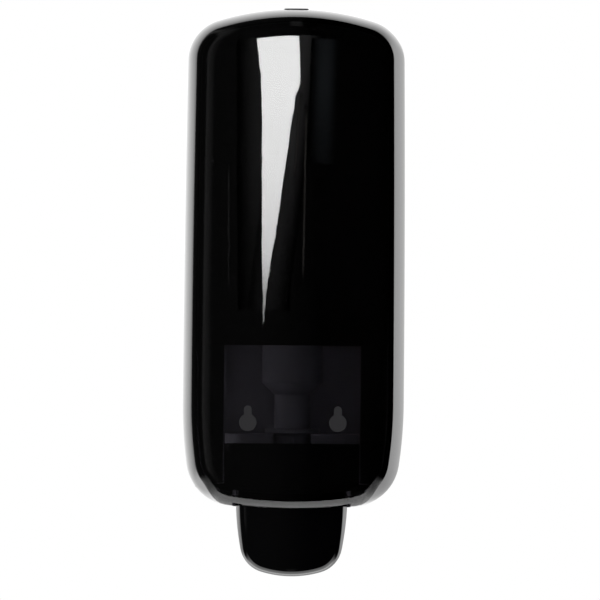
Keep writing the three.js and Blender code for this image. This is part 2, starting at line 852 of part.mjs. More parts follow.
function pumpHousing() {
  return turned([
    [chamberRadius, housingBottom],
    [lockFlangeRadius, housingBottom],
    [lockFlangeRadius, lockFlangeTop],
    [barrelRadius, lockFlangeTop],
    [barrelRadius, seatFlangeBottom],
    [seatFlangeRadius, seatFlangeBottom],
    [seatFlangeRadius, seatFlangeBottom + seatFlangeThickness],
    [barrelRadius, seatFlangeBottom + seatFlangeThickness],
    [barrelRadius, chamberTop - pumpShoulder],
    [capRadius, capBottom],
    [capRadius, capTop],
    [neckRadius + runGap, capTop],
    [neckRadius + runGap, capFloorTop],
    [seatHoleRadius, capFloorTop],
    [seatHoleRadius, ballPocketTop],
    [ballPocketRadius, ballPocketTop - ballSeatRise],
    [ballPocketRadius, chamberTop],
    [chamberRadius, chamberTop],
  ], 0, -pumpDepth);
}

// A flat ring about the pump's axis.
function pumpRing(inner, outer, bottom, top) {
  const section = [[inner, bottom], [outer, bottom], [outer, top], [inner, top]];
  return turned(section, 0, -pumpDepth, smallTurnSteps);
}

function inletBall() {
  const rest = Math.sqrt(ballRadius ** 2 - spoutBore ** 2);
  const ball = new THREE.SphereGeometry(ballRadius, 12, 8);
  ball.translate(0, -pumpDepth, retainerTop + rest + ballGap);
  return solid(ball);
}

class Helix extends THREE.Curve {
  constructor(radius, bottom, top, turns) {
    super();
    Object.assign(this, { radius, bottom, top, turns });
  }

  getPoint(t, target = new THREE.Vector3()) {
    const angle = t * this.turns * Math.PI * 2;
    const x = this.radius * Math.cos(angle);
    const y = this.radius * Math.sin(angle) - pumpDepth;
    return target.set(x, y, THREE.MathUtils.lerp(this.bottom, this.top, t));
  }
}

function pumpSpring() {
  const inset = springWire + runGap;
  const path = new Helix(springRadius, pistonTop + inset, retainerBottom - inset, springTurns);
  const wire = new THREE.Shape().absarc(0, 0, springWire, 0, Math.PI * 2, false);
  return solid(new THREE.ExtrudeGeometry(wire, {
    steps: springTurns * 9,
    curveSegments: 3,
    bevelEnabled: false,
    extrudePath: path,
  }));
}

// Piston head with its seal groove, on a hollow stem.
function pumpPiston() {
  const grooveBottom = pistonBottom + (pistonLength - sealWidth) / 2;
  const groove = sealRadius - runGap;
  return turned([
    [stemBore, collarTop + runGap],
    [stemRadius, collarTop + runGap],
    [stemRadius, pistonBottom],
    [glandOuter, pistonBottom],
    [glandOuter, grooveBottom],
    [groove, grooveBottom],
    [groove, grooveBottom + sealWidth],
    [glandOuter, grooveBottom + sealWidth],
    [glandOuter, pistonTop],
    [stemBore, pistonTop],
  ], 0, -pumpDepth, smallTurnSteps);
}

function pistonSeal() {
  const middle = pistonBottom + pistonLength / 2;
  const half = sealWidth / 2 - sealSideGap;
  return pumpRing(sealRadius, chamberRadius - sealBoreGap, middle - half, middle + half);
}

function pumpNozzle() {
  const valveSeat = spoutBottom + valveLength;
  const valveBore = valveRadius + runGap;
  return turned([
    [valveBore, spoutBottom],
    [spoutRadius - spoutTaper, spoutBottom],
    [spoutRadius, spoutBottom + spoutTaperHeight],
    [spoutRadius, collarBottom],
    [collarRadius, collarBottom],
    [collarRadius, collarTop - chamfer],
    [collarRadius - chamfer, collarTop],
    [hubRadius, collarTop],
    [hubRadius, hubTop],
    [stemSocket, hubTop],
    [stemSocket, collarTop],
    [spoutBore, collarTop],
    [spoutBore, valveSeat],
    [valveBore, valveSeat],
  ], 0, -pumpDepth);
}

function outletValve() {
  return turned([
    [valveSlit, spoutBottom - valveLip],
    [valveRadius - chamfer, spoutBottom - valveLip],
    [valveRadius, spoutBottom],
    [valveRadius, spoutBottom + valveLength - runGap],
    [valveSlit, spoutBottom + valveLength - runGap],
  ], 0, -pumpDepth, smallTurnSteps);
}

// ---------------------------------------------------------------- cover

// The mouth in the foot of the cover, which the bar and the nozzle come out of.
function openingTool(heights) {
  const half = barHalfWidth + barGap;
  return block([-half, half], [-openingFront, -openingRear], heights);
}

function lockHole() {
  return rod('z', lockSleeveRadius + pinGap, [lockSleeveBottom, lockSleeveTop + cutClear], [0, -lockDepth]);
}

// Everything behind and below the hinge that lies outside the heel's sweep.
function heelRelief() {
  const corner = block([-coverHalfWidth - cutClear, coverHalfWidth + cutClear], [-hingeDepth, cutClear],
    [coverBottom - cutClear, hingeHeight]);
  const heel = rod('x', hingeHeelRadius, [-coverHalfWidth - 2 * cutClear, coverHalfWidth + 2 * cutClear],
    [-hingeDepth, hingeHeight], heelSteps);
  return corner.subtract(heel);
}

function hingeLug(side) {
  const inner = hingeEarX + hingeEarWall / 2 + runGap;
  const ends = [side * inner, side * (inner + hingeLugReach)].sort((a, b) => a - b);
  return rod('x', hingeBossRadius, ends, [-hingeDepth, hingeHeight]);
}

const carrierScrewSeat = coverBottom + carrierScrewRise;

function hingePinEnds(side, extra) {
  const from = hingeEarX - hingeEarWall / 2 - extra;
  const to = hingeEarX + hingeEarWall / 2 + runGap + hingePinReach + extra;
  return [side * from, side * to].sort((a, b) => a - b);
}

// Blind holes for the screws that are driven down through the carrier into the cover.
function carrierScrewHoles() {
  const places = [-carrierScrewX, carrierScrewX];
  return places.map((x) => joined(
    rod('z', screwRadius + pinGap, [carrierScrewSeat - carrierScrewLength - pinGap, carrierTop],
      [x, -carrierScrewDepth], screwSteps),
    rod('z', screwHeadRadius + pinGap, [carrierScrewSeat, carrierTop],
      [x, -carrierScrewDepth], screwHeadSteps),
  ));
}

function coverShell() {
  const shell = mouldedShell(coverForm, 0, coverWall);
  const lugs = [-1, 1].map((side) => hingeLug(side).intersect(mouldedCore(coverForm, coverWall / 2)));
  const pinHoles = [-1, 1].map((side) => (
    rod('x', hingePinRadius + pinGap, hingePinEnds(side, pinGap), [-hingeDepth, hingeHeight])
  ));
  const relieved = shell.subtract(heelRelief());
  return cutBy(joined(relieved, ...lugs), openingTool([coverBottom - cutClear, cheekBottom + panHeight]),
    lockHole(), ...pinHoles, ...carrierScrewHoles());
}

const linerOffset = coverWall + linerGap;

function coverLiner() {
  const shell = mouldedShell(coverForm, linerOffset, linerWall);
  const rear = plateThickness + plateRimHeight + linerRearGap;
  const upper = block([-coverHalfWidth, coverHalfWidth], [-coverFront, -rear], [windowTop, coverTop]);
  return shell.intersect(upper).subtract(lockHole());
}

// ---------------------------------------------------------------- carrier of the push bar

const cheekInner = barHalfWidth + barGap;
const cheekOuter = cheekInner + cheekWall;

function carrierCheek(side) {
  const outline = polygon([
    [-carrierWebRear - cheekOverlap, cheekBottom],
    [-carrierWebRear - cheekOverlap, carrierTop - cheekTopDrop],
    [-carrierWebRear, carrierTop - cheekTopDrop],
    [-cheekRear, barPivotHeight + cheekOverlap],
    [-cheekRear, cheekBottom],
  ]);
  const ends = [side * cheekInner, side * cheekOuter].sort((a, b) => a - b);
  return sidePrism(outline, ends);
}

function barCarrier() {
  const skin = mouldedShell(coverForm, linerOffset, carrierWall);
  const web = block([-carrierHalfWidth, carrierHalfWidth], [-coverFront, -carrierWebRear],
    [coverBottom, carrierTop]);
  const pan = block([-carrierFootHalfWidth, carrierFootHalfWidth], [-coverFront, -carrierRear],
    [coverBottom, cheekBottom + panHeight]);
  const cheeks = [-1, 1].map((side) => carrierCheek(side).intersect(mouldedCore(coverForm, linerOffset)));
  const frame = skin.intersect(web.add(pan));
  const pinHole = rod('x', barPinRadius + pinGap, [-cheekOuter - cutClear, cheekOuter + cutClear],
    [-barPivotDepth, barPivotHeight]);
  return cutBy(joined(frame, ...cheeks), openingTool([coverBottom, cheekBottom + panHeight + cutClear]),
    pinHole, ...carrierScrewHoles());
}

// ---------------------------------------------------------------- push bar

function pushBar() {
  const scoop = mouldedShell(barForm, 0, barWall);
  const side = new THREE.Shape();
  side.moveTo(-barFront - cutClear, barBottom - cutClear);
  side.lineTo(-barFront - cutClear, barPivotHeight + barPinBoss / 2);
  side.lineTo(-barPivotDepth - barPinBoss, barPivotHeight + barPinBoss);
  side.lineTo(-barPivotDepth + barPinBoss, barPivotHeight + barPinBoss);
  side.lineTo(-barPivotDepth + barShoulderReach, barPivotHeight - barShoulderDrop);
  side.lineTo(-barPivotDepth + barWingReach, barPivotHeight - barWingDrop);
  side.lineTo(-barPivotDepth + barWingReach, barPivotHeight - barWingDrop - barWingHeight);
  side.lineTo(-barPivotDepth + barTipReach, barBottom - cutClear);
  side.closePath();
  const kept = sidePrism(side, [-barHalfWidth - cutClear, barHalfWidth + cutClear]);
  const pinHole = rod('x', barPinRadius + pinGap, [-barHalfWidth - cutClear, barHalfWidth + cutClear],
    [-barPivotDepth, barPivotHeight]);
  return scoop.intersect(kept).subtract(pinHole);
}

const forkEarOuter = barHalfWidth - barDraft - barWall - runGap;

function liftFork() {
  const noseHeight = collarBottom - runGap - forkNoseRadius;
  const bottom = forkWebTop - forkThickness;
  const webFront = -barPivotDepth - forkWebAhead;
  const webRear = -barPivotDepth + forkWebBehind;
  const noseDepth = -pumpDepth + weld;
  const web = block([-forkEarOuter, forkEarOuter], [webFront, webRear], [bottom, forkWebTop]);
  const arms = [-1, 1].flatMap((side) => {
    const ends = [side * forkSlotHalfWidth, side * (forkSlotHalfWidth + forkArmWidth)].sort((a, b) => a - b);
    return [
      block(ends, [webRear - weld, noseDepth], [bottom, forkWebTop]),
      rod('x', forkNoseRadius, ends, [noseDepth, noseHeight]),
    ];
  });
  const ears = [-1, 1].flatMap((side) => {
    const ends = [side * (forkEarOuter - forkEarWall), side * forkEarOuter].sort((a, b) => a - b);
    const post = block(ends, [-barPivotDepth - barPinBoss, -barPivotDepth + barPinBoss],
      [bottom, barPivotHeight]);
    return [post, rod('x', barPinBoss, ends, [-barPivotDepth, barPivotHeight])];
  });
  const pinHole = rod('x', barPinRadius + pinGap, [-barHalfWidth, barHalfWidth],
    [-barPivotDepth, barPivotHeight]);
  const bracket = joined(web, ...ears).intersect(mouldedCore(barForm, barWall + runGap));
  return joined(bracket, ...arms).subtract(pinHole);
}

function barPin(side) {
  const ends = [side * (forkEarOuter - forkEarWall), side * cheekOuter].sort((a, b) => a - b);
  return rod('x', barPinRadius, ends, [-barPivotDepth, barPivotHeight]);
}

// ---------------------------------------------------------------- lock

const sleeveBore = lockBarrelRadius + pinGap;
const lipTop = lockSleeveBottom + lockLipThickness;

function lockSleeve() {
  return turned([
    [lockStubRadius + pinGap, lockSleeveBottom],
    [lockSleeveRadius, lockSleeveBottom],
    [lockSleeveRadius, lockSleeveTop - chamfer],
    [lockSleeveRadius - chamfer, lockSleeveTop],
    [sleeveBore, lockSleeveTop],
    [sleeveBore, lipTop],
    [lockStubRadius + pinGap, lipTop],
  ], 0, -lockDepth);
}

// The nut that clamps the sleeve, with six flats.
function lockNut() {
  const top = coverTop - linerOffset - linerWall - lockNutDrop;
  const hex = rod('z', lockNutRadius, [top - lockNutThickness, top], [0, -lockDepth], 6);
  const bore = rod('z', lockSleeveRadius + runGap, [top - lockNutThickness - cutClear, top + cutClear],
    [0, -lockDepth]);
  return hex.subtract(bore);
}

function lockBarrel() {
  const top = lockSleeveTop - lockBarrelDrop;
  const body = turned([
    [0, camBottom],
    [lockStubRadius, camBottom],
    [lockStubRadius, lipTop + runGap],
    [lockBarrelRadius, lipTop + runGap],
    [lockBarrelRadius, top],
    [0, top],
  ], 0, -lockDepth);
  const half = keySlotLength / 2;
  const slot = block([-half, half], [-lockDepth - keySlotWidth / 2, -lockDepth + keySlotWidth / 2],
    [top - keySlotDepth, top + cutClear]);
  const screwHole = rod('z', screwRadius + pinGap,
    [camBottom - cutClear, camBottom + camScrewLength + cutClear], [0, -lockDepth], screwSteps);
  return cutBy(body, slot, screwHole);
}

// The cam points along +X when unlocked. Its turned-up tip passes behind the strike hook.
function lockCam() {
  const disc = rod('z', lockSleeveRadius, [camBottom, camTop], [0, -lockDepth]);
  const halfArm = camArmWidth / 2;
  const arm = block([0, camRadius], [-lockDepth - halfArm, -lockDepth + halfArm], [camBottom, camTop]);
  const tip = block([camRadius - camTipLength, camRadius], [-lockDepth - halfArm, -lockDepth + halfArm],
    [camBottom, camBottom + camTipHeight]);
  const rounding = rod('z', camRadius, [camBottom - cutClear, camBottom + camTipHeight + cutClear],
    [0, -lockDepth], heelSteps);
  const bore = rod('z', lockStubRadius + pinGap, [camBottom - cutClear, camTop + cutClear], [0, -lockDepth]);
  return joined(disc, arm, tip).intersect(rounding).subtract(bore);
}

// ---------------------------------------------------------------- assembly

addPiece('back_plate', 'charcoal', backPlate());
addPiece('refill_shelf', 'charcoal', refillShelf());
addPiece('refill_bottle', 'bottle', refillBottle());
addPiece('pump_housing', 'pump', pumpHousing());
addPiece('neck_gasket', 'rubber',
  pumpRing(neckBore, neckRadius - runGap, capFloorTop + runGap, capFloorTop + runGap + gasketThickness));
addPiece('pump_gland', 'pump', pumpRing(stemSocket, glandOuter, glandBottom, glandTop));
addPiece('inlet_ball', 'steel', inletBall());
addPiece('valve_retainer', 'pump', pumpRing(spoutBore, glandOuter, retainerBottom, retainerTop));
addPiece('pump_spring', 'steel', pumpSpring());
addPiece('pump_piston', 'pump', pumpPiston());
addPiece('piston_seal', 'rubber', pistonSeal());
addPiece('pump_nozzle', 'pump', pumpNozzle());
addPiece('outlet_valve', 'rubber', outletValve());
addPiece('cover_shell', 'smoke', coverShell());
addPiece('cover_liner', 'black', coverLiner());
addPiece('bar_carrier', 'black', barCarrier());
addPiece('push_bar', 'black', pushBar());
addPiece('lift_fork', 'pump', liftFork());
addPiece('lock_sleeve', 'zinc', lockSleeve());
addPiece('lock_nut', 'steel', lockNut());
addPiece('lock_barrel', 'zinc', lockBarrel());
addPiece('lock_cam', 'steel', lockCam());
addPiece('lock_strike', 'steel', lockStrike());
addPiece('strike_screw', 'steel', screw('y', 1, strikeBack - strikeFoot - runGap,
  plateThickness + strikeFoot + 2 * runGap - weld, [0, strikeScrewHeight]));
addPiece('cam_screw', 'steel', screw('z', 1, camBottom - runGap, camScrewLength, [0, -lockDepth]));

for (const [side, label] of [[-1, 'left'], [1, 'right']]) {
  const shelfSeat = -plateThickness - runGap - shelfFlangeWall - runGap;
  addPiece(`hinge_pin_${label}`, 'steel',
    rod('x', hingePinRadius, hingePinEnds(side, 0), [-hingeDepth, hingeHeight]));
  addPiece(`shelf_screw_${label}`, 'steel',
    screw('y', 1, shelfSeat, -shelfSeat - weld, [side * shelfScrewX, shelfScrewHeight]));
  addPiece(`bar_pin_${label}`, 'steel', barPin(side));
  addPiece(`carrier_screw_${label}`, 'steel',
    screw('z', -1, carrierScrewSeat, carrierScrewLength,
      [side * carrierScrewX, -carrierScrewDepth]));
}

dispenser.position.z = -originHeight;

export default dispenser;
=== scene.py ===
"""Wall-mounted push-bar soap dispenser, modelled and finished on its measured frame."""

import json
import math

import bmesh
import bpy
from bpy.props import FloatProperty, FloatVectorProperty, IntProperty, PointerProperty
from mathutils import Matrix, Vector

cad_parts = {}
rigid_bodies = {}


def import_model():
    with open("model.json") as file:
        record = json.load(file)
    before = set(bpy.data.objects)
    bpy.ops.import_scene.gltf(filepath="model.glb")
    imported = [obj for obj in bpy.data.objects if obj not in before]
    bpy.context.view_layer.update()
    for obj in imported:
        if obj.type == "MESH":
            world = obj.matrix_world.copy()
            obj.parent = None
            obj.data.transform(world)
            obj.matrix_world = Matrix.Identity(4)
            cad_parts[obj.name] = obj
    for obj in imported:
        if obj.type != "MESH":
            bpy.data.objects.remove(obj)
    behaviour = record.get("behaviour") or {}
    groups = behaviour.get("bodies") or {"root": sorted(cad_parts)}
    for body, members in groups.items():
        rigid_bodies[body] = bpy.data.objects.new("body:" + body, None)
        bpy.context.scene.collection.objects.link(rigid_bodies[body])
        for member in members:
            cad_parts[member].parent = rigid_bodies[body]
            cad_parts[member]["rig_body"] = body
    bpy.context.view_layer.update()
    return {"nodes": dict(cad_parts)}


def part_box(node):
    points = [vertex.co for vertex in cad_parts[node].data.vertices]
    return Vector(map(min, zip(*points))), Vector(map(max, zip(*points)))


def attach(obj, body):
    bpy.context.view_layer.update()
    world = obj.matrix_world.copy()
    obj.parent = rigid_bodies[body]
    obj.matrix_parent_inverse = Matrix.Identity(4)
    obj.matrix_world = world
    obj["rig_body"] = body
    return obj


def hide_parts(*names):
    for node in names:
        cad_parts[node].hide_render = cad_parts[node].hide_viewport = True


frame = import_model()

bl_info = {
    "name": "Push-bar soap dispenser",
    "version": (1, 0, 0),
    "blender": (4, 5, 0),
    "location": "3D View > Sidebar > Dispenser",
    "description": "Models and finishes a wall-mounted push-bar soap dispenser",
    "category": "Object",
}

MM = 0.001
DRIP_LINE = -0.165  # heights are stated from this level, just under the push bar


def level(height):
    """The z in metres of a height in millimetres above the drip line."""
    return DRIP_LINE + height * MM


PUMP_AXIS = (0, -0.055)  # (x, y) of the pump and of the bottle's neck
LOCK_AXIS = (0, -0.024)  # (x, y) of the lock
COVER_HINGE = (-0.019, level(52))  # (y, z) of the cover's pins
BAR_HINGE = (-0.088, level(56))  # (y, z) of the push bar's pins
PIN_BORE = 0.0023  # radius of a hole for a pin
SCREW_BORE = 0.0017  # radius of a hole for a screw
INSIDE_COVER = (0, -0.05, 0)
LEG_WALL = 0.0016  # thickness of the liner's legs
LEG_GAP = 0.0008  # between the cover's inner face and the legs

# ------------------------------------------------------------------ sizes and colours


def length(name, description, default):
    return FloatProperty(name=name, description=description, default=default, unit="LENGTH")


def tint(name, description, default):
    return FloatVectorProperty(
        name=name, description=description, default=default, size=3, subtype="COLOR", min=0, max=1
    )


class CoverSizes(bpy.types.PropertyGroup):
    """Sizes of the smoked cover."""

    half_width: length("Half width", "Half the width of the cover", 0.0565)
    top: length("Top", "Height of the cover's crown above the drip line", 0.2912)
    bottom: length("Bottom", "Height of the cover's sole above the drip line", 0.0364)
    front: length("Front", "How far the middle of the front stands from the wall", 0.11187)
    rear: length("Rear", "How far the rear edge stands from the wall", 0.003)
    wall: length("Wall", "Thickness of the cover", 0.0025)
    draft: length("Draft", "How much each side draws in towards the front", 0.0053)
    edge: length("Edge", "Radius between the sides and the front", 0.006)
    mouth_half: length("Mouth half width", "Half the width of the mouth in the sole", 0.0299)


class BarSizes(bpy.types.PropertyGroup):
    """Sizes of the push bar."""

    half_width: length("Half width", "Half the width of the bar", 0.0287)
    top: length("Top", "Height of the bar's hidden head above the drip line", 0.064)
    bottom: length("Bottom", "Height of the bar's tip above the drip line", 0.00093)
    front: length("Front", "How far the bar's face stands from the wall", 0.0994)
    rear: length("Rear", "Depth at which the bar's sides would end", 0.058)
    wall: length("Wall", "Thickness of the bar", 0.0024)
    draft: length("Draft", "How much each side draws in towards the face", 0.0024)
    edge: length("Edge", "Radius between the sides and the face", 0.0026)


class RefillSizes(bpy.types.PropertyGroup):
    """Sizes of the refill bottle and its pump."""

    corner: length("Corner", "Radius of the bottle's upright corners", 0.016)
    shoulder: length("Shoulder", "Radius round the top of the bottle", 0.015)
    foot: length("Foot", "Radius round the foot of the bottle", 0.006)
    grip_ribs: IntProperty(name="Grip ribs", description="Ribs round the neck's cap", default=36)


class FinishColours(bpy.types.PropertyGroup):
    """Colours of the finishes."""

    smoke: tint("Smoke", "Colour that light keeps through the cover", (0.30, 0.294, 0.312))
    gloss: tint("Gloss black", "Colour of the push bar", (0.0006, 0.0006, 0.0008))
    liner: tint("Liner", "Colour of the black mouldings", (0.003, 0.003, 0.0033))
    charcoal: tint("Charcoal", "Colour of the back plate", (0.16, 0.155, 0.175))
    bottle: tint("Bottle", "Colour of the refill bottle", (0.80, 0.81, 0.80))
    pump: tint("Pump", "Colour of the pump's mouldings", (0.13, 0.13, 0.145))
    rubber: tint("Rubber", "Colour of the seals", (0.018, 0.018, 0.019))
    steel: tint("Steel", "Colour of the pins and screws", (0.62, 0.63, 0.64))
    # A light grey, raised so that the lock's top renders as a light line: partly the zinc's own
    # colour, partly painted highlight.
    zinc: tint("Zinc", "Colour of the plated lock", (0.50, 0.50, 0.51))


class StudioSettings(bpy.types.PropertyGroup):
    """Camera and light."""

    distance: length("Distance", "From the wall face to the camera", 12.0)
    lens: FloatProperty(name="Lens", description="Focal length in millimetres", default=1411.7)
    side: FloatProperty(name="Side", description="Camera's angle to the right", default=0.2)
    rise: FloatProperty(name="Rise", description="Camera's angle above level", default=0.0)
    roll: FloatProperty(name="Roll", description="Camera's lean in degrees", default=0.53)
    aim_x: length("Aim across", "Point on the wall face that the camera looks at", 0.0031)
    aim_z: length("Aim up", "Point on the wall face that the camera looks at", -0.0224)
    ambient: FloatProperty(name="Ambient", description="Light from all round", default=0.32)
    inner_light: FloatProperty(
        name="Inner light", description="World for rays that bounced inside the cover", default=4.4
    )
    see_through: FloatProperty(
        name="Wall in shade", description="World seen straight through the cover", default=0.095
    )
    key: FloatProperty(name="Key", description="Power of the key light in watts", default=22)
    fill: FloatProperty(name="Fill", description="Power of the fill light in watts", default=9)
    floor_drop: length("Floor", "Depth of the floor under the wall face's origin", 0.42)


# ------------------------------------------------------------------ shader values


class Value:
    """A socket of a finish, which takes arithmetic."""

    def __init__(self, finish, socket):
        self.finish = finish
        self.socket = socket

    def _math(self, operation, first, second):
        return self.finish.node("ShaderNodeMath", {"operation": operation}, (first, second))

    def __add__(self, other):
        return self._math("ADD", self, other)

    __radd__ = __add__

    def __sub__(self, other):
        return self._math("SUBTRACT", self, other)

    def __rsub__(self, other):
        return self._math("SUBTRACT", other, self)

    def __mul__(self, other):
        return self._math("MULTIPLY", self, other)

    __rmul__ = __mul__

    def __pow__(self, other):
        return self._math("POWER", self, other)


def opaque(colour):
    """A plain colour with its alpha. A socket stays as it is."""
    return colour if isinstance(colour, Value) else (*colour, 1)


class Finish:
    """A procedural material or world, built up from its nodes."""

    def __init__(self, holder):
        self.holder = holder
        holder.use_nodes = True
        self.tree = holder.node_tree
        self.tree.nodes.clear()

    def node(self, kind, settings=None, inputs=(), output=0):
        """Adds a node with its settings, then the values or links of its sockets."""
        made = self.tree.nodes.new(kind)
        for key, setting in (settings or {}).items():
            if key == "stops":
                self._stops(made.color_ramp, setting)
            else:
                setattr(made, key, setting)
        pairs = inputs.items() if isinstance(inputs, dict) else enumerate(inputs)
        for key, value in pairs:
            if isinstance(value, Value):
                self.tree.links.new(value.socket, made.inputs[key])
            else:
                made.inputs[key].default_value = value
        return Value(self, made.outputs[output]) if made.outputs else None

    @staticmethod
    def _stops(ramp, stops):
        while len(ramp.elements) < len(stops):
            ramp.elements.new(1.0)
        for element, (place, shade) in zip(ramp.elements, stops):
            element.position = place
            element.color = opaque((shade,) * 3 if isinstance(shade, (int, float)) else shade)

    def place(self, scale=(1, 1, 1), turn=(0, 0, 0)):
        """A point of the piece, turned and scaled."""
        point = self.node("ShaderNodeTexCoord", output="Object")
        settings = {"vector_type": "POINT"}
        inputs = {"Vector": point, "Rotation": turn, "Scale": scale}
        return self.node("ShaderNodeMapping", settings, inputs)

    def noise(self, scale, detail, roughness, vector=None, distortion=0):
        inputs = {"Vector": vector or self.place(), "Scale": scale, "Detail": detail}
        inputs.update({"Roughness": roughness, "Distortion": distortion})
        return self.node("ShaderNodeTexNoise", {}, inputs)

    def cells(self, scale):
        return self.node("ShaderNodeTexVoronoi", {}, {"Vector": self.place(), "Scale": scale})

    def ramp(self, value, stops):
        return self.node("ShaderNodeValToRGB", {"stops": stops}, (value,))

    def between(self, factor, low, high):
        """A colour between two others."""
        inputs = {0: factor, 6: opaque(low), 7: opaque(high)}
        return self.node("ShaderNodeMix", {"data_type": "RGBA"}, inputs, 2)

    def smooth(self, value, low, high):
        """0 below the low limit, 1 above the high one, smooth between."""
        settings = {"interpolation_type": "SMOOTHSTEP"}
        inputs = {"Value": value, "From Min": low, "From Max": high, "To Min": 0, "To Max": 1}
        return self.node("ShaderNodeMapRange", settings, inputs)

    def smallest(self, first, second):
        return self.node("ShaderNodeMath", {"operation": "MINIMUM"}, (first, second))

    def largest(self, first, second):
        return self.node("ShaderNodeMath", {"operation": "MAXIMUM"}, (first, second))

    def bump(self, height, strength, distance):
        inputs = {"Height": height, "Strength": strength, "Distance": distance}
        return self.node("ShaderNodeBump", {}, inputs)

    def edges(self, low, high):
        """1 along raised edges, 0 on flats."""
        pointiness = self.node("ShaderNodeNewGeometry", output="Pointiness")
        return self.ramp(pointiness, [(low, 0.0), (high, 1.0)])

    def surface(self, **sockets):
        """The shader itself. What is the same all over goes straight on its sockets."""
        inputs = {}
        for key, value in sockets.items():
            name = key.replace("_", " ").title().replace("Ior", "IOR")
            inputs[name] = opaque(value) if name.endswith("Color") else value
        shader = self.node("ShaderNodeBsdfPrincipled", {}, inputs)
        self.node("ShaderNodeOutputMaterial", {}, {"Surface": shader})
        return self.holder


def paint(name):
    """A new material, still without its surface."""
    return Finish(bpy.data.materials.new(name))


def scaled(colour, factor):
    return tuple(min(part * factor, 1) for part in colour)


# ------------------------------------------------------------------ finishes


def smoked_plastic(colour):
    """Polished smoked plastic, its gloss drifting a little, with the finest hairlines."""
    f = paint("smoked_plastic")
    drift = f.noise(9, 3, 0.55)
    hairs = f.noise(420, 2, 0.6, f.place(scale=(1, 1, 0.05)))
    rough = 0.012 + 0.014 * drift + 0.004 * hairs
    peel = f.noise(160, 2, 0.4)
    normal = f.bump(peel, 0.02, 0.0004)
    return f.surface(
        base_color=colour, roughness=rough, ior=1.49, transmission_weight=1.0, normal=normal
    )


def gloss_black(colour):
    """Polished black moulding, rubbed a little dull in patches."""
    f = paint("gloss_black_plastic")
    drift = f.noise(22, 4, 0.6)
    hairs = f.noise(500, 2, 0.6, f.place(scale=(0.06, 1, 1), turn=(0, 0.3, 0)))
    rubbed = f.ramp(drift, [(0.42, 0.0), (0.75, 1.0)])
    rough = 0.05 + 0.05 * rubbed + 0.03 * hairs
    shade = f.between(rubbed, colour, scaled(colour, 1.5))
    peel = f.noise(140, 2, 0.4)
    return f.surface(
        base_color=shade, roughness=rough, ior=1.49, normal=f.bump(peel, 0.025, 0.0004)
    )


def satin(name, colour, fine, coarse, lightest, rough, relief):
    """Satin moulding with a fine mould texture, its colour drifting a little."""
    f = paint(name)
    grain = f.noise(fine, 3, 0.6)
    shade = f.between(f.noise(coarse, 3, 0.5), scaled(colour, 0.8), scaled(colour, lightest))
    least, spread = rough
    return f.surface(
        base_color=shade, roughness=least + spread * grain, ior=1.48,
        normal=f.bump(grain, *relief),
    )


def black_moulding(colour):
    """Satin black moulding of the carrier and the liner."""
    return satin("black_plastic", colour, 1500, 25, 1.3, (0.5, 0.12), (0.2, 0.0001))


def charcoal_plate(colour):
    """Charcoal moulding, spark-textured, with flow marks, and pits darkened by painted shade."""
    f = paint("plate_plastic")
    grain = f.noise(1100, 4, 0.65)
    pits = f.cells(900)
    flow = f.noise(14, 4, 0.6, f.place(scale=(1, 1, 0.35)), 0.6)
    shade = f.between(flow, scaled(colour, 0.82), scaled(colour, 1.16))
    # Painted shade: the pits, which the bump dents, are darkened in colour.
    pitted_with_painted_shade = f.between(f.ramp(pits, [(0.0, 0.25), (0.3, 0.0)]), shade, scaled(colour, 0.6))
    rough = 0.42 + 0.16 * grain
    normal = f.bump(pits * 0.5 + grain, 0.35, 0.00012)
    return f.surface(base_color=pitted_with_painted_shade, roughness=rough, ior=1.48, normal=normal)


def milky_bottle(colour):
    """Blow-moulded natural plastic, with faint die lines down its sides."""
    f = paint("bottle_plastic")
    lines = f.noise(90, 2, 0.5, f.place(scale=(1, 1, 0.02)))
    cloud = f.noise(12, 3, 0.5)
    shade = f.between(cloud, scaled(colour, 0.93), scaled(colour, 1.04))
    grain = f.noise(700, 2, 0.5)
    rough = 0.3 + 0.1 * lines
    normal = f.bump(lines + grain * 0.3, 0.12, 0.0004)
    return f.surface(
        base_color=shade, roughness=rough, ior=1.52, subsurface_weight=0.35,
        subsurface_radius=(0.012, 0.012, 0.011), subsurface_scale=0.5, normal=normal,
    )


def pump_moulding(colour):
    """Dark satin moulding of the pump and its fork."""
    return satin("pump_plastic", colour, 1300, 40, 1.25, (0.34, 0.14), (0.22, 0.00008))


def seal_rubber(colour):
    """Matt rubber with a dusty bloom."""
    f = paint("seal_rubber")
    bloom = f.noise(120, 4, 0.65)
    shade = f.between(bloom, colour, scaled(colour, 2.4))
    return f.surface(
        base_color=shade, roughness=0.72 + 0.18 * bloom, ior=1.5,
        normal=f.bump(bloom, 0.3, 0.0001),
    )


def bright_steel(colour):
    """Zinc-plated steel with fine turning marks and a mottled passivation."""
    f = paint("bright_steel")
    turning = f.noise(60, 2, 0.5, f.place(scale=(60, 1, 1)))
    mottle = f.noise(260, 3, 0.6)
    shade = f.between(mottle, scaled(colour, 0.86), scaled(colour, 1.08))
    return f.surface(
        base_color=shade, metallic=1.0, roughness=0.24 + 0.16 * turning,
        normal=f.bump(turning, 0.12, 0.00005),
    )


def dark_zinc(colour):
    """Plated die casting, rendered light grey, and four times lighter along its rim: partly wear,
    partly a painted highlight.
    """
    f = paint("dark_zinc")
    cast = f.noise(900, 4, 0.6)
    mottle = f.noise(180, 3, 0.55)
    shade = f.between(mottle, scaled(colour, 0.7), scaled(colour, 1.3))
    # Painted highlight, partly wear: the rim is lightened so that the lock's head renders as a
    # light line.
    rim_wear_and_painted_highlight = f.between(f.edges(0.53, 0.62), shade, scaled(colour, 4.0))
    return f.surface(
        base_color=rim_wear_and_painted_highlight, metallic=0.9, roughness=0.3 + 0.15 * cast,
        normal=f.bump(cast, 0.15, 0.00008),
    )


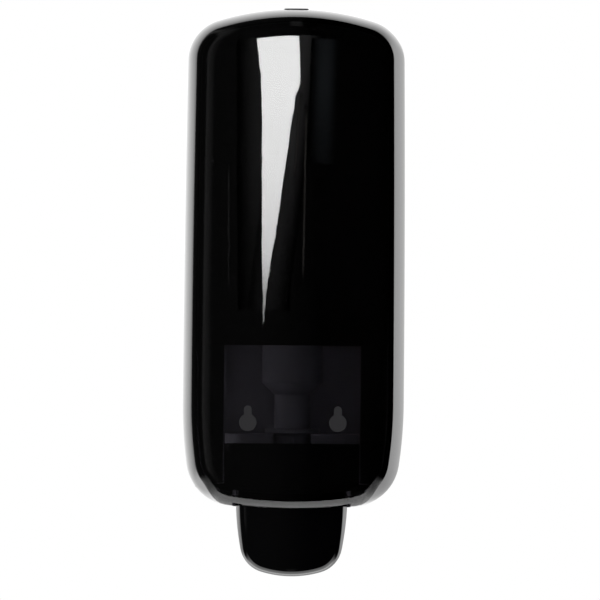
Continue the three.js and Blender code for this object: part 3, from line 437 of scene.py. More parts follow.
FINISH_MAKERS = {
    "smoked_plastic": (smoked_plastic, "smoke"),
    "gloss_black_plastic": (gloss_black, "gloss"),
    "black_plastic": (black_moulding, "liner"),
    "plate_plastic": (charcoal_plate, "charcoal"),
    "bottle_plastic": (milky_bottle, "bottle"),
    "pump_plastic": (pump_moulding, "pump"),
    "seal_rubber": (seal_rubber, "rubber"),
    "bright_steel": (bright_steel, "steel"),
    "dark_zinc": (dark_zinc, "zinc"),
}


def finish(slot):
    """A new material for one of the record's slots. Each piece gets its own."""
    maker, name = FINISH_MAKERS[slot]
    return maker(tuple(getattr(bpy.context.scene.finish_colours, name)))


# ------------------------------------------------------------------ making pieces


def draft_object(name, bm):
    """A working object, not yet finished."""
    mesh = bpy.data.meshes.new(name)
    bm.to_mesh(mesh)
    bm.free()
    made = bpy.data.objects.new(name, mesh)
    bpy.context.scene.collection.objects.link(made)
    return made


def apply_all(made):
    """Sets the piece's modifiers into its mesh."""
    graph = bpy.context.evaluated_depsgraph_get()
    mesh = bpy.data.meshes.new_from_object(made.evaluated_get(graph))
    made.modifiers.clear()
    made.data = mesh
    return made


def boolean(made, tool, operation="DIFFERENCE"):
    """Cuts away, adds or keeps what the tool covers."""
    if isinstance(tool, bmesh.types.BMesh):
        tool = draft_object("tool", tool)
    step = made.modifiers.new(operation.title(), "BOOLEAN")
    step.operation = operation
    step.solver = "EXACT"
    step.object = tool
    apply_all(made)
    bpy.data.objects.remove(tool)
    return made


def finished(made, slot, nodes, sharp=32):
    """Gives a piece its finish and its place on the frame. It stands for the nodes it names."""
    made.data.materials.clear()
    made.data.materials.append(finish(slot))
    made.data.shade_smooth()
    made.data.set_sharp_from_angle(angle=math.radians(sharp))
    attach(made, frame["nodes"][nodes[0]]["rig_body"])
    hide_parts(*nodes)
    return made


def soften(made, width, angle=35):
    """Softens the piece's edges."""
    step = made.modifiers.new("Soft edges", "BEVEL")
    step.width = width
    step.segments = 2
    step.limit_method = "ANGLE"
    step.angle_limit = math.radians(angle)
    step.use_clamp_overlap = True
    step.miter_outer = "MITER_ARC"
    return made


def block(low, high):
    """A box between two corners."""
    bm = bmesh.new()
    verts = bmesh.ops.create_cube(bm, size=1)["verts"]
    low, high = Vector(low), Vector(high)
    bmesh.ops.scale(bm, vec=high - low, verts=verts)
    bmesh.ops.translate(bm, vec=(low + high) / 2, verts=verts)
    return bm


def rounded(bm, edges, radius, segments):
    """Rounds some of a block's edges."""
    bmesh.ops.bevel(
        bm, geom=edges, offset=radius, segments=segments, profile=0.5, affect="EDGES", material=-1
    )


def rod(axis, radius, span, centre, segments=64):
    """A rod along X or Z between two limits."""
    bm = bmesh.new()
    turn = Matrix.Rotation(math.pi / 2, 4, "Y") if axis == "x" else Matrix.Identity(4)
    middle = Vector(centre)
    middle["xyz".index(axis)] = (span[0] + span[1]) / 2
    bmesh.ops.create_cone(
        bm, cap_ends=True, segments=segments, radius1=radius, radius2=radius,
        depth=span[1] - span[0], matrix=Matrix.Translation(middle) @ turn,
    )
    return bm


def side_prism(outline, span):
    """An outline of (y, z) points, drawn out across the part."""
    bm = bmesh.new()
    corners = [bm.verts.new((span[0], y, z)) for y, z in outline]
    face = bm.faces.new(corners)
    grown = bmesh.ops.extrude_face_region(bm, geom=[face])["geom"]
    moved = [g for g in grown if isinstance(g, bmesh.types.BMVert)]
    bmesh.ops.translate(bm, vec=(span[1] - span[0], 0, 0), verts=moved)
    bmesh.ops.recalc_face_normals(bm, faces=bm.faces[:])
    return bm


def turned(profile, axis, segments=96):
    """A closed profile of (radius, height) points in millimetres, spun about an upright axis."""
    bm = bmesh.new()
    x, y = axis
    points = [bm.verts.new((x + radius * MM, y, level(height))) for radius, height in profile]
    edges = [bm.edges.new(pair) for pair in zip(points, points[1:] + points[:1])]
    bmesh.ops.spin(
        bm, geom=points + edges, cent=(x, y, 0), axis=(0, 0, 1), angle=2 * math.pi,
        steps=segments, use_merge=True,
    )
    bmesh.ops.remove_doubles(bm, verts=bm.verts[:], dist=1e-6)
    bmesh.ops.recalc_face_normals(bm, faces=bm.faces[:])
    return bm


def merged_copy(node):
    """A copy of a node with its triangles joined and its flat faces made whole."""
    bm = bmesh.new()
    bm.from_mesh(frame["nodes"][node].data)
    bmesh.ops.remove_doubles(bm, verts=bm.verts[:], dist=3e-6)
    bmesh.ops.dissolve_limit(
        bm, angle_limit=math.radians(1.0), verts=bm.verts[:], edges=bm.edges[:]
    )
    return bm


def merged(made):
    """A copy of a working object's mesh."""
    bm = bmesh.new()
    bm.from_mesh(made.data)
    return bm


def softened_copy(node, slot, width, angle=35, sharp=32, name=None):
    """A node's form with its edges softened."""
    made = draft_object(name or f"{node}_moulding", merged_copy(node))
    soften(made, width, angle)
    flat = made.modifiers.new("Flat faces", "WEIGHTED_NORMAL")
    flat.keep_sharp = True
    flat.weight = 100
    return finished(made, slot, [node], sharp)


# ------------------------------------------------------------------ moulded skins


def corner_centre(side, crown, radius, upward):
    """The centre of a corner arc that runs smoothly into the two larger arcs round it."""
    a, b = side[2] - radius, crown[2] - radius
    dx, dz = crown[0] - side[0], crown[1] - side[1]
    distance = math.hypot(dx, dz)
    along = (a * a - b * b + distance * distance) / (2 * distance)
    across = math.sqrt(a * a - along * along)
    options = [
        (
            side[0] + (dx * along - sign * dz * across) / distance,
            side[1] + (dz * along + sign * dx * across) / distance,
            radius,
        )
        for sign in (1, -1)
    ]
    return max(options, key=lambda p: p[0] + (p[1] if upward else -p[1]))


def heading(start, end):
    return math.atan2(end[1] - start[1], end[0] - start[0])


class Outline:
    """Half an outline as smooth arcs from the crown down, mirrored to the other side."""

    def __init__(self, half_width, widest, side_up, side_down, top, top_radius, top_corner,
                 bottom, bottom_radius, bottom_corner, steps):
        up = (half_width - side_up, widest, side_up)
        down = (half_width - side_down, widest, side_down)
        crown = (0, top - top_radius, top_radius)
        sole = (0, bottom + bottom_radius, bottom_radius)
        high = corner_centre(up, crown, top_corner, True)
        low = corner_centre(down, sole, bottom_corner, False)
        ends, corners, sides = steps
        self.arcs = [
            (crown, math.pi / 2, heading(crown, high), ends),
            (high, heading(crown, high), heading(up, high), corners),
            (up, heading(up, high), 0, sides),
            (down, 0, heading(down, low), sides),
            (low, heading(down, low), heading(sole, low), corners),
            (sole, heading(sole, low), -math.pi / 2, ends),
        ]

    def ring(self, inset):
        """The closed outline drawn in all round, as (x, height) points."""
        right = []
        for (x, z, radius), start, end, steps in self.arcs:
            for step in range(steps):
                angle = start + (end - start) * step / steps
                reach = radius - inset
                right.append((x + reach * math.cos(angle), z + reach * math.sin(angle)))
        right[0] = (0, right[0][1])
        (_, z, radius), *_ = self.arcs[-1]
        sole = (0, z - radius + inset)
        left = [(-x, z) for x, z in reversed(right[1:])]
        return right + [sole] + left


class Skin:
    """A domed skin, open at the rear, from its outline, depths and crown."""

    def __init__(self, outline, rear, front, crown_across, crown_along, crown_height,
                 draft, draft_power, edge, spine, steps, lip=None):
        self.outline, self.rear, self.front = outline, rear, front
        self.lip = lip
        self.crown_across, self.crown_along = crown_across, crown_along
        self.crown_height, self.draft, self.power = crown_height, draft, draft_power
        self.edge, self.spine, self.steps = edge, spine, steps

    def face(self, x, height):
        """The y of the front at a point of the outline."""
        across = x * x / (2 * self.crown_across)
        along = (height - self.crown_height) ** 2 / (2 * self.crown_along)
        return across + along - self.front

    def profile(self):
        """The draw-in and the depth behind the face, ring by ring through the rounded edge."""
        rounds = self.steps[1]
        turns = [math.pi / 2 * step / rounds for step in range(1, rounds + 1)]
        return [
            (self.draft + self.edge * (1 - math.cos(turn)), self.edge * (1 - math.sin(turn)))
            for turn in turns
        ]

    def ring(self, plain, middle, end):
        """The outline drawn in, with its own draw-in over the lip's middle and its ends."""
        drawn = [self.outline.ring(inset) for inset, _ in (plain, middle, end)]
        drops = (plain[1], middle[1], end[1])
        ring = []
        for places, level_with in zip(zip(*drawn), self.outline.ring(0)):
            shares = self.lip_shares(*level_with)
            ring.append(tuple(
                sum(share * part for share, part in zip(shares, parts))
                for parts in (*zip(*places), drops)
            ))
        return ring

    def lip_shares(self, x, height):
        """How much of the plain edge, the lip's middle and the lip's end a point has."""
        if self.lip is None or height > self.lip["height"]:
            return 1, 0, 0
        inner, outer = self.lip["reach"]
        t = min(max((outer - abs(x)) / (outer - inner), 0), 1)
        lip = t * t * (3 - 2 * t)
        end = min((x / inner) ** 2, 1)
        return 1 - lip, lip * (1 - end), lip * end

    def rings(self):
        walls, _, faces = self.steps
        plain = self.profile()
        lip = self.lip or {"middle": plain, "end": plain, "drafts": (self.draft, self.draft)}
        rings = []
        for step in range(walls + 1):
            t = step / walls
            drawn = t ** self.power
            insets = ((draft * drawn, 0) for draft in (self.draft, *lip["drafts"]))
            rings.append([
                (x, -self.rear + (self.face(x, z) + self.edge + self.rear) * t, z)
                for x, z, _ in self.ring(*insets)
            ])
        for points in zip(plain, lip["middle"], lip["end"]):
            rings.append([(x, self.face(x, z) + drop, z) for x, z, drop in self.ring(*points)])
        border = self.outline.ring(self.draft + self.edge)
        low, high = self.spine
        for step in range(1, faces + 1):
            t = step / faces
            ring = [(x * (1 - t), z + (min(max(z, low), high) - z) * t) for x, z in border]
            rings.append([(x, self.face(x, z), z) for x, z in ring])
        return [[Vector((x, y, z + DRIP_LINE)) for x, y, z in ring] for ring in rings]

    def mesh(self):
        """The skin, drawn out ring by ring from its rear edge to the middle of its front."""
        rings = self.rings()
        bm = bmesh.new()
        around = bm.verts.layers.int.new("around")
        bmesh.ops.create_circle(bm, cap_ends=False, radius=1, segments=len(rings[0]))
        for index, vert in enumerate(bm.verts):
            vert[around] = index
            vert.co = rings[0][index]
        edges = bm.edges[:]
        for ring in rings[1:]:
            grown = bmesh.ops.extrude_edge_only(bm, edges=edges)["geom"]
            edges = [g for g in grown if isinstance(g, bmesh.types.BMEdge)]
            for vert in (g for g in grown if isinstance(g, bmesh.types.BMVert)):
                vert.co = ring[vert[around]]
            edges = [e for e in edges if len(e.link_faces) == 1]
        bmesh.ops.remove_doubles(bm, verts=bm.verts[:], dist=2e-6)
        bmesh.ops.recalc_face_normals(bm, faces=bm.faces[:])
        return bm


def outward(bm, inside):
    """Turns the skin's normals away from a point inside it."""
    nearest = min(bm.faces, key=lambda f: f.calc_center_median().y)
    if nearest.normal.dot(nearest.calc_center_median() - Vector(inside)) < 0:
        bmesh.ops.reverse_faces(bm, faces=bm.faces[:])
    return bm


def walled(name, skin, wall, inside, depth=0):
    """A skin given a wall inwards, from its face or from a depth under it."""
    made = draft_object(name, outward(skin.mesh(), inside))
    step = made.modifiers.new("Wall", "SOLIDIFY")
    step.thickness = wall
    step.offset = -1 - 2 * depth / wall
    step.use_even_offset = True
    return apply_all(made)


def cover_skin(s):
    outline = Outline(
        s.half_width, widest=0.090, side_up=13.0, side_down=0.22,
        top=s.top, top_radius=0.133, top_corner=0.0218,
        bottom=s.bottom, bottom_radius=0.51, bottom_corner=0.0248, steps=(14, 14, 12),
    )
    return Skin(
        outline, s.rear, s.front, crown_across=0.253, crown_along=1.32, crown_height=0.165,
        draft=s.draft, draft_power=1.5, edge=s.edge,
        spine=(s.bottom + s.half_width, s.top - s.half_width), steps=(8, 8, 12), lip=cover_lip(s),
    )


def lip_profile(start, end, slopes, full):
    """A band that bends from one (draw-in, depth) point to another, then runs into the face."""
    first, last = (math.radians(slope) for slope in slopes)
    across, along = math.cos(first) - math.cos(last), math.sin(last) - math.sin(first)
    points = [start]
    for step in range(1, 5):
        slope = first + (last - first) * step / 4
        inset = start[0] + (end[0] - start[0]) * (math.cos(first) - math.cos(slope)) / across
        depth = start[1] + (end[1] - start[1]) * (math.sin(slope) - math.sin(first)) / along
        points.append((inset, depth))
    for t in (1 / 3, 2 / 3, 1.0):
        points.append((end[0] + (full - end[0]) * t, end[1] * (1 - t) ** 2))
    return points


def cover_lip(s):
    """The lip that hangs before the mouth, shallow in its middle and deeper at its ends."""
    full = s.draft + s.edge
    return {
        "middle": lip_profile((0.0010, 0.0036), (0.0042, 0.0008), (36, 60), full),
        "end": lip_profile((0.0013, 0.0054), (0.0061, 0.0008), (27, 64), full),
        "drafts": (0.0005, 0.0013),
        "reach": (0.0355, 0.0495),
        "height": s.bottom + 0.03,
    }


def bar_skin(s):
    outline = Outline(
        s.half_width, widest=0.042, side_up=0.4, side_down=0.175,
        top=s.top, top_radius=0.3, top_corner=0.008,
        bottom=s.bottom, bottom_radius=0.053, bottom_corner=0.016, steps=(10, 10, 8),
    )
    return Skin(
        outline, s.rear, s.front, crown_across=0.17, crown_along=0.19, crown_height=0.05,
        draft=s.draft, draft_power=1.3, edge=s.edge,
        spine=(s.bottom + s.half_width, s.top - s.half_width), steps=(8, 6, 10),
    )


# ------------------------------------------------------------------ operators


class DISPENSER_OT_cover(bpy.types.Operator):
    """Models the smoked cover: a domed shell with its mouth, hinge lugs and lock hole"""

    bl_idname = "dispenser.cover"
    bl_label = "Cover"

    def execute(self, context):
        s = context.scene.cover_sizes
        made = walled("cover", cover_skin(s), s.wall, INSIDE_COVER)
        for side in (-1, 1):
            span = sorted((side * 0.04145, side * 0.0492))
            boolean(made, rod("x", 0.005, span, (0, *COVER_HINGE)), "UNION")
        y, z = COVER_HINGE
        relief = draft_object("relief", block((-0.06, y, level(34)), (0.06, 0.001, z)))
        boolean(relief, rod("x", 0.0157, (-0.061, 0.061), (0, *COVER_HINGE), 96))
        boolean(made, relief)
        mouth = block((-s.mouth_half, -0.1012, level(30)), (s.mouth_half, -0.044, level(49.5)))
        boolean(made, mouth)
        boolean(made, rod("z", 0.0067, (level(272), level(293)), (*LOCK_AXIS, 0)))
        for side in (-1, 1):
            span = sorted((side * 0.0373, side * 0.0478))
            boolean(made, rod("x", PIN_BORE, span, (0, *COVER_HINGE), 32))
            screw = rod("z", SCREW_BORE, (level(42.9), level(52)), (side * 0.0345, -0.072, 0), 32)
            boolean(made, screw)
        finished(made, "smoked_plastic", ["cover_shell"], 13.5)
        return {"FINISHED"}


class DISPENSER_OT_push_bar(bpy.types.Operator):
    """Models the push bar: a scoop with a crowned face that hangs from its two pins"""

    bl_idname = "dispenser.push_bar"
    bl_label = "Push bar"

    def execute(self, context):
        s = context.scene.bar_sizes
        made = walled("push_bar_scoop", bar_skin(s), s.wall, (0, -0.07, level(35)))
        outline = [
            (-0.1004, level(-0.1)), (-0.1004, level(58.3)), (-0.0926, level(60.6)),
            (-0.0834, level(60.6)), (-0.078, level(50)), (-0.066, level(46)),
            (-0.066, level(40)), (-0.084, level(-0.1)),
        ]
        boolean(made, side_prism(outline, (-0.03, 0.03)), "INTERSECT")
        boolean(made, rod("x", PIN_BORE, (-0.03, 0.03), (0, *BAR_HINGE), 32))
        finished(made, "gloss_black_plastic", ["push_bar"], 30)
        return {"FINISHED"}


class DISPENSER_OT_mouldings(bpy.types.Operator):
    """Finishes the plate, the shelf, the carrier, the liner and the fork, with softened edges"""

    bl_idname = "dispenser.mouldings"
    bl_label = "Mouldings"

    def execute(self, context):
        softened_copy("back_plate", "plate_plastic", 0.00035)
        softened_copy("refill_shelf", "plate_plastic", 0.00035)
        softened_copy("bar_carrier", "black_plastic", 0.0002, 40, 40)
        self.liner(context.scene.cover_sizes)
        softened_copy("lift_fork", "pump_plastic", 0.0003)
        return {"FINISHED"}

    def liner(self, s):
        """The liner, with the two legs that run down behind the face beside the window."""
        made = draft_object("cover_liner_moulding", merged_copy("cover_liner"))
        soften(made, 0.0002, 60)
        apply_all(made)
        for side in (-1, 1):
            leg = walled("leg", cover_skin(s), LEG_WALL, INSIDE_COVER, s.wall + LEG_GAP)
            for inner, outer, foot, head in ((34.5, 56, 70.6, 119.8), (34.7, 56, 50, 70.7)):
                span = sorted((side * inner * MM, side * outer * MM))
                keep = block((span[0], -0.115, level(foot)), (span[1], -0.094, level(head)))
                piece = draft_object("leg_part", merged(leg))
                boolean(piece, keep, "INTERSECT")
                boolean(made, piece, "UNION")
            bpy.data.objects.remove(leg)
        finished(made, "black_plastic", ["cover_liner"], 40)


class DISPENSER_OT_refill(bpy.types.Operator):
    """Models the refill bottle, its pump and the small pieces inside the pump"""

    bl_idname = "dispenser.refill"
    bl_label = "Refill and pump"

    def execute(self, context):
        self.bottle(context.scene.refill_sizes)
        self.housing(context.scene.refill_sizes)
        self.stem()
        self.small_pieces()
        return {"FINISHED"}

    def bottle(self, s):
        low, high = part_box("refill_bottle")
        low.z = level(122)
        bm = block(low, high)
        upright = [e for e in bm.edges if abs(e.verts[0].co.z - e.verts[1].co.z) > 0.05]
        rounded(bm, upright, s.corner, 12)
        for z, radius, segments in ((high.z, s.shoulder, 10), (low.z, s.foot, 6)):
            rim = [e for e in bm.edges if all(abs(v.co.z - z) < 1e-6 for v in e.verts)]
            rounded(bm, rim, radius, segments)
        made = draft_object("bottle", bm)
        neck = [
            (0.1, 105), (12.6, 105), (12.6, 119.8), (13.6, 121.4), (15, 122.4), (0.1, 123),
        ]
        boolean(made, turned(neck, PUMP_AXIS), "UNION")
        boolean(made, rod("z", 0.008, (level(104), level(113)), (*PUMP_AXIS, 0)))
        soften(made, 0.0003)
        finished(made, "bottle_plastic", ["refill_bottle"])

    def housing(self, s):
        profile = [
            (6.5, 64.7), (11.5, 64.7), (11.5, 67.4), (9.2, 67.4), (9.2, 75), (14, 75),
            (14, 77.5), (9.2, 77.5), (9.2, 94.5), (15.5, 100.5), (15.5, 119.5), (12.9, 119.5),
            (12.9, 103), (1.7, 103), (1.7, 100.8), (3, 99.8), (3, 96.5), (6.5, 96.5),
        ]
        made = draft_object("pump_body", turned(profile, PUMP_AXIS, 2 * s.grip_ribs))
        soften(made, 0.0003)
        finished(made, "pump_plastic", ["pump_housing"])

    def stem(self):
        nozzle = [
            (2.5, 40.9), (3.1, 40.9), (3.5, 42.9), (3.5, 50), (9, 50), (9, 52.4), (5.2, 52.4),
            (5.2, 55), (3.7, 55), (3.7, 52.4), (1.5, 52.4), (1.5, 43.3), (2.5, 43.3),
        ]
        made = draft_object("nozzle", turned(nozzle, PUMP_AXIS))
        soften(made, 0.00025)
        finished(made, "pump_plastic", ["pump_nozzle"])

    def small_pieces(self):
        for node, slot in (
            ("pump_gland", "pump_plastic"), ("valve_retainer", "pump_plastic"),
            ("pump_piston", "pump_plastic"), ("piston_seal", "seal_rubber"),
            ("neck_gasket", "seal_rubber"), ("outlet_valve", "seal_rubber"),
        ):
            softened_copy(node, slot, 0.00012, 40, 40, f"{node}_ring")


class DISPENSER_OT_lock(bpy.types.Operator):
    """Models the lock in the head of the cover: sleeve, barrel with its key slot, nut and cam"""

    bl_idname = "dispenser.lock"
    bl_label = "Lock"

    def execute(self, context):
        sleeve = [
            (3.3, 272), (6.4, 272), (6.4, 290.5), (5.9, 290.9), (4.9, 290.9), (4.9, 273.3),
            (3.3, 273.3),
        ]
        made = draft_object("sleeve", turned(sleeve, LOCK_AXIS))
        finished(soften(made, 0.0002), "dark_zinc", ["lock_sleeve"])
        barrel = [
            (0.0001, 268.7), (3, 268.7), (3, 273.6), (4.6, 273.6), (4.6, 290.8), (0.0001, 290.8),
        ]
        made = draft_object("barrel", turned(barrel, LOCK_AXIS))
        boolean(made, block((-0.0026, -0.0247, level(286.1)), (0.0026, -0.0233, level(292.1))))
        boolean(made, rod("z", SCREW_BORE, (level(267.7), level(275.7)), (*LOCK_AXIS, 0), 32))
        finished(soften(made, 0.00012), "dark_zinc", ["lock_barrel"])
        softened_copy("lock_nut", "bright_steel", 0.0003)
        softened_copy("lock_cam", "bright_steel", 0.0002, 30)
        softened_copy("lock_strike", "bright_steel", 0.0003)
        return {"FINISHED"}


class DISPENSER_OT_fasteners(bpy.types.Operator):
    """Finishes the pins, the screws, the spring and the ball"""

    bl_idname = "dispenser.fasteners"
    bl_label = "Pins, screws and spring"

    def execute(self, context):
        for node in frame["nodes"]:
            if "_pin_" in node or "screw" in node:
                softened_copy(node, "bright_steel", 0.0002, 40, 40, f"{node}_steel")
        for node in ("pump_spring", "inlet_ball"):
            cad = frame["nodes"][node]
            cad.data.materials.clear()
            cad.data.materials.append(finish("bright_steel"))
        return {"FINISHED"}


class DISPENSER_OT_studio(bpy.types.Operator):
    """Sets the camera, the floor and the light"""

    bl_idname = "dispenser.studio"
    bl_label = "Studio"

    def execute(self, context):
        s = context.scene.studio_settings
        context.scene.view_settings.view_transform = "Standard"
        self.camera(context, s)
        self.floor(s)
        self.world(context, s)
        self.lamps(s)
        self.cards()
        return {"FINISHED"}

    def camera(self, context, s):
        lens = bpy.data.cameras.new("camera")
        lens.lens = s.lens
        lens.sensor_width = 36
        lens.clip_end = 40
        camera = bpy.data.objects.new("camera", lens)
        context.scene.collection.objects.link(camera)
        side, rise = math.radians(s.side), math.radians(s.rise)
        aim = Vector((s.aim_x, 0, s.aim_z))
        away = Vector((
            math.sin(side) * math.cos(rise), -math.cos(side) * math.cos(rise), math.sin(rise),
        ))
        camera.location = aim + away * s.distance
        turn = (-away).to_track_quat("-Z", "Y").to_matrix().to_4x4()
        roll = Matrix.Rotation(math.radians(s.roll), 4, "Z")
        camera.matrix_world = Matrix.Translation(camera.location) @ turn @ roll
        context.scene.camera = camera

    def floor(self, s):
        bm = bmesh.new()
        bmesh.ops.create_grid(bm, x_segments=1, y_segments=1, size=1.5)
        bmesh.ops.translate(bm, vec=(0, 0, -s.floor_drop), verts=bm.verts[:])
        floor = draft_object("floor", bm)
        f = paint("floor_paint")
        drift = f.noise(3, 2, 0.5)
        shade = f.between(drift, (0.80, 0.80, 0.80), (0.84, 0.84, 0.84))
        floor.data.materials.append(f.surface(base_color=shade, roughness=0.7))
        floor.visible_glossy = False
        floor.visible_transmission = False

    def world(self, context, s):
        """The camera sees plain white, gloss and the cover a studio made for the photo's view."""
        context.scene.world = bpy.data.worlds.new("studio")
        f = Finish(context.scene.world)
        rays = ("Is Camera Ray", "Is Glossy Ray", "Is Transmission Ray", "Diffuse Depth",
                "Transmission Depth")
        camera_ray, glossy_ray, transmission_ray, diffuse_depth, passes = (
            f.node("ShaderNodeLightPath", output=name) for name in rays
        )
        direction = f.node("ShaderNodeTexCoord", output="Generated")
        across, depth, up = (
            f.node("ShaderNodeSeparateXYZ", {}, (direction,), output=i) for i in range(3)
        )
        bounced = f.smallest(diffuse_depth, 1)
        straight = f.smooth(depth, 0.97, 0.99) * s.see_through
        inner = s.inner_light * (1 - 0.92 * f.smooth(across, -0.4, 0.35))
        through = straight + bounced * (inner - straight)
        outside = 1 - f.smallest(passes, 1)
        mirrored = outside * (
            self.backdrop(f, across, depth, up) + self.side_panel(f, across, up)
            + self.door(f, across, depth, up)
        )
        other = glossy_ray * mirrored + (1 - glossy_ray) * s.ambient
        strength = camera_ray + (1 - camera_ray) * (
            transmission_ray * through + (1 - transmission_ray) * other
        )
        inputs = {"Color": (1, 1, 1, 1), "Strength": strength}
        background = f.node("ShaderNodeBackground", {}, inputs)
        f.node("ShaderNodeOutputWorld", {}, {"Surface": background})

    def backdrop(self, f, across, depth, up):
        """The pale wall behind and the table below, as the gloss shows them.

        The wall is brightest over the head and falls off outwards. The left side has a haze.
        """
        off = (across * across + up * up + 0.0001) ** 0.5
        right = across * off ** -1
        head = f.largest(up * off ** -1, 0)
        foot = f.largest(-1 * up * off ** -1, 0)
        lit = 1.62 + 0.35 * head - off * (8.4 + 3 * head)
        shaded = 0.62 - off
        right_side = f.smooth(right * (1 - 0.6 * head), 0.3, 0.8)
        least = 0.25 + 0.4 * f.smooth(foot, 0.2, 0.6)
        glow = f.largest(lit, least) * (1 - right_side) + shaded * right_side
        wall = f.smooth(depth, 0.90, 0.97) * glow * (1 - 0.4 * foot)
        near = f.smooth(depth, -0.55, -0.35) * (1 - f.smooth(depth, 0.85, 0.95))
        table = f.smooth(foot, 0.47, 0.80) * near * 2.5
        return wall + table + 0.035 * (1 - f.smooth(across, -0.15, 0.15))

    def side_panel(self, f, across, up):
        """A soft dim panel that stands beyond the left side."""
        panel = f.smallest(f.largest((-1 * across - 0.32) * 2.0, 0), 0.22)
        return panel * f.smooth(up, -0.3, -0.2) * (1 - f.smooth(-1 * across, 0.45, 0.6))

    def door(self, f, across, depth, up):
        """A dim upright doorway behind the camera, seen over and under it."""
        apart = (across * across) ** 0.5
        steep = f.smooth((up * up) ** 0.5, 0.5, 0.58) * f.smooth(-1 * depth, 0.0, 0.3)
        return (1 - f.smooth(apart, 0.02, 0.045)) * steep * 0.16

    def lamps(self, s):
        """Four soft lamps that shine on the part and that its gloss doesn't show."""
        for name, place, aim, size, watts in (
            ("key", (-1.3, -1.1, 1.2), INSIDE_COVER, (0.5, 0.9), s.key),
            ("fill", (1.5, -0.9, 0.5), INSIDE_COVER, (0.5, 1.0), s.fill),
            ("top", (0.1, 0.3, 1.5), INSIDE_COVER, (0.9, 0.6), s.fill),
            ("back", (-0.4, 1.5, 0.6), (0, 0, 0), (1.0, 0.8), s.fill),
        ):
            light = bpy.data.lights.new(name, "AREA")
            light.shape = "RECTANGLE"
            light.size, light.size_y = size
            light.energy = watts
            made = bpy.data.objects.new(name, light)
            made.visible_glossy = False
            made.visible_transmission = False
            bpy.context.scene.collection.objects.link(made)
            turn = (Vector(place) - Vector(aim)).to_track_quat("Z", "Y").to_matrix().to_4x4()
            made.matrix_world = Matrix.Translation(place) @ turn

    def cards(self):
        """Cards that only the gloss shows, in front of the part."""
        softbox = [
            (-0.2453, 0.3635), (-0.12, 0.3665), (0.0158, 0.3675), (0.0278, 0.2834),
            (0.0007, 0.2685), (-0.0376, 0.1911), (-0.0738, 0.1256), (-0.1021, 0.0604),
            (-0.1428, -0.0049), (-0.1745, -0.0702), (-0.1825, -0.1078), (-0.188, -0.1062),
            (-0.190, -0.0703), (-0.1985, -0.005), (-0.2009, 0.0603), (-0.2061, 0.1914),
            (-0.2149, 0.2906), (-0.2309, 0.3241),
        ]
        fall = [(0.0, 0.2), (0.09, 0.35), (0.22, 0.65), (0.36, 0.81), (0.5, 0.905), (0.8, 1.0)]
        self.card("softbox_card", softbox, 20.0, fall)
        up, warm, blue = [(0.0, 0.3), (0.6, 1.0), (1.0, 0.9)], (1, 0.94, 0.88), (0.8, 0.9, 1.0)
        even = [(0.0, 0.0), (0.12, 1.0), (0.88, 1.0), (1.0, 0.0)]
        for name, top, foot, width, strength, fade, tone in (
            ("glow_left", (-0.22, 0.40), (-0.19, -0.09), 0.34, 0.17, up, (1, 1, 1)),
            ("glow_right", (0.05, 0.40), (-0.17, -0.09), 0.26, 0.32, up, (1, 1, 1)),
            ("blue_card", (0.185, 0.365), (0.168, 0.155), 0.18, 0.16, up, blue),
            ("frame_card", (0.0675, 0.25), (0.055, -0.04), 0.016, 0.35, even, warm),
            ("frame_card_high", (0.035, 0.27), (-0.008, 0.13), 0.016, 0.35, even, warm),
            ("edge_card", (-0.4182, 0.16), (-0.4122, -0.06), 0.007, 0.4, even, (1, 1, 1)),
            ("edge_card_low", (-0.410, -0.25), (-0.409, -0.33), 0.007, 0.3, even, (1, 1, 1)),
        ):
            self.strip_card(name, top, foot, width, strength, fade, tone)

    def strip_card(self, name, top, foot, width, strength, fade, tone):
        """A leaning strip, brightest along its middle."""
        half = width / 2
        outline = [
            (top[0] - half, top[1]), (top[0] + half, top[1]),
            (foot[0] + half, foot[1]), (foot[0] - half, foot[1]),
        ]
        lean = (top[0] - foot[0]) / (top[1] - foot[1])
        middle = (foot[0] - lean * foot[1], lean)
        depth = 1.56 if width > 0.2 else 1.52
        self.card(name, outline, strength, fade, tone, (middle, half), depth)

    def card(self, name, outline, strength, fade, tone=(1, 1, 1), strip=None, depth=1.5):
        """A card that fades along its height and, as a strip, towards its sides."""
        bm = bmesh.new()
        bm.faces.new([bm.verts.new((x, -depth, z)) for x, z in outline])
        made = draft_object(name, bm)
        f = paint(name)
        foot, head = min(z for _, z in outline), max(z for _, z in outline)
        across, height = (
            f.node("ShaderNodeSeparateXYZ", {}, (f.place(),), output=i) for i in (0, 2)
        )
        along = (height - foot) * (1 / (head - foot))
        emission = f.ramp(along, [(place, scaled(tone, shade)) for place, shade in fade])
        if strip:
            (start, lean), half = strip
            apart = across - (height * lean + start)
            apart = (apart * apart) ** 0.5
            emission = f.between(f.smooth(apart, half, 0.1 * half), (0, 0, 0), emission)
        made.data.materials.append(f.surface(
            base_color=(0, 0, 0), roughness=1.0, specular_ior_level=0.0,
            emission_color=emission, emission_strength=strength,
        ))
        made.visible_camera = False
        made.visible_diffuse = False
        made.visible_shadow = False
        made.visible_transmission = False


class DISPENSER_PT_panel(bpy.types.Panel):
    """Lists the dispenser's operators and its groups of settings"""

    bl_idname = "DISPENSER_PT_panel"
    bl_label = "Dispenser"
    bl_space_type = "VIEW_3D"
    bl_region_type = "UI"
    bl_category = "Dispenser"

    def draw(self, context):
        for operator in OPERATORS:
            self.layout.operator(operator.bl_idname)
        for title, _ in SETTINGS.values():
            self.layout.box().label(text=title)


# ------------------------------------------------------------------ add-on

OPERATORS = (
    DISPENSER_OT_cover,
    DISPENSER_OT_push_bar,
    DISPENSER_OT_mouldings,
    DISPENSER_OT_refill,
    DISPENSER_OT_lock,
    DISPENSER_OT_fasteners,
    DISPENSER_OT_studio,
)

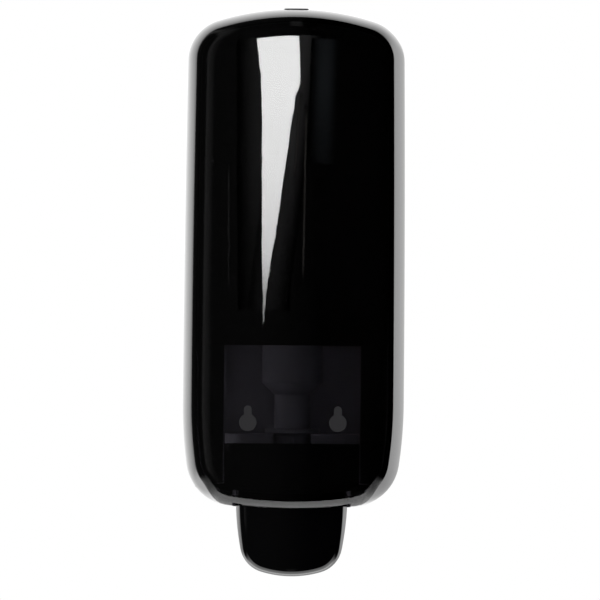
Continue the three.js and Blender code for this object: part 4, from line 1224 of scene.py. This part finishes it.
SETTINGS = {
    "cover_sizes": ("Cover", CoverSizes),
    "bar_sizes": ("Push bar", BarSizes),
    "refill_sizes": ("Refill", RefillSizes),
    "finish_colours": ("Finishes", FinishColours),
    "studio_settings": ("Studio", StudioSettings),
}


def register():
    for name, (_, group) in SETTINGS.items():
        bpy.utils.register_class(group)
        setattr(bpy.types.Scene, name, PointerProperty(type=group))
    for cls in (*OPERATORS, DISPENSER_PT_panel):
        bpy.utils.register_class(cls)


def unregister():
    for cls in reversed((*OPERATORS, DISPENSER_PT_panel)):
        bpy.utils.unregister_class(cls)
    for name, (_, group) in SETTINGS.items():
        delattr(bpy.types.Scene, name)
        bpy.utils.unregister_class(group)


def main():
    register()
    for cls in OPERATORS:
        getattr(bpy.ops.dispenser, cls.bl_idname.split(".")[1])()


if __name__ == "__main__":
    main()
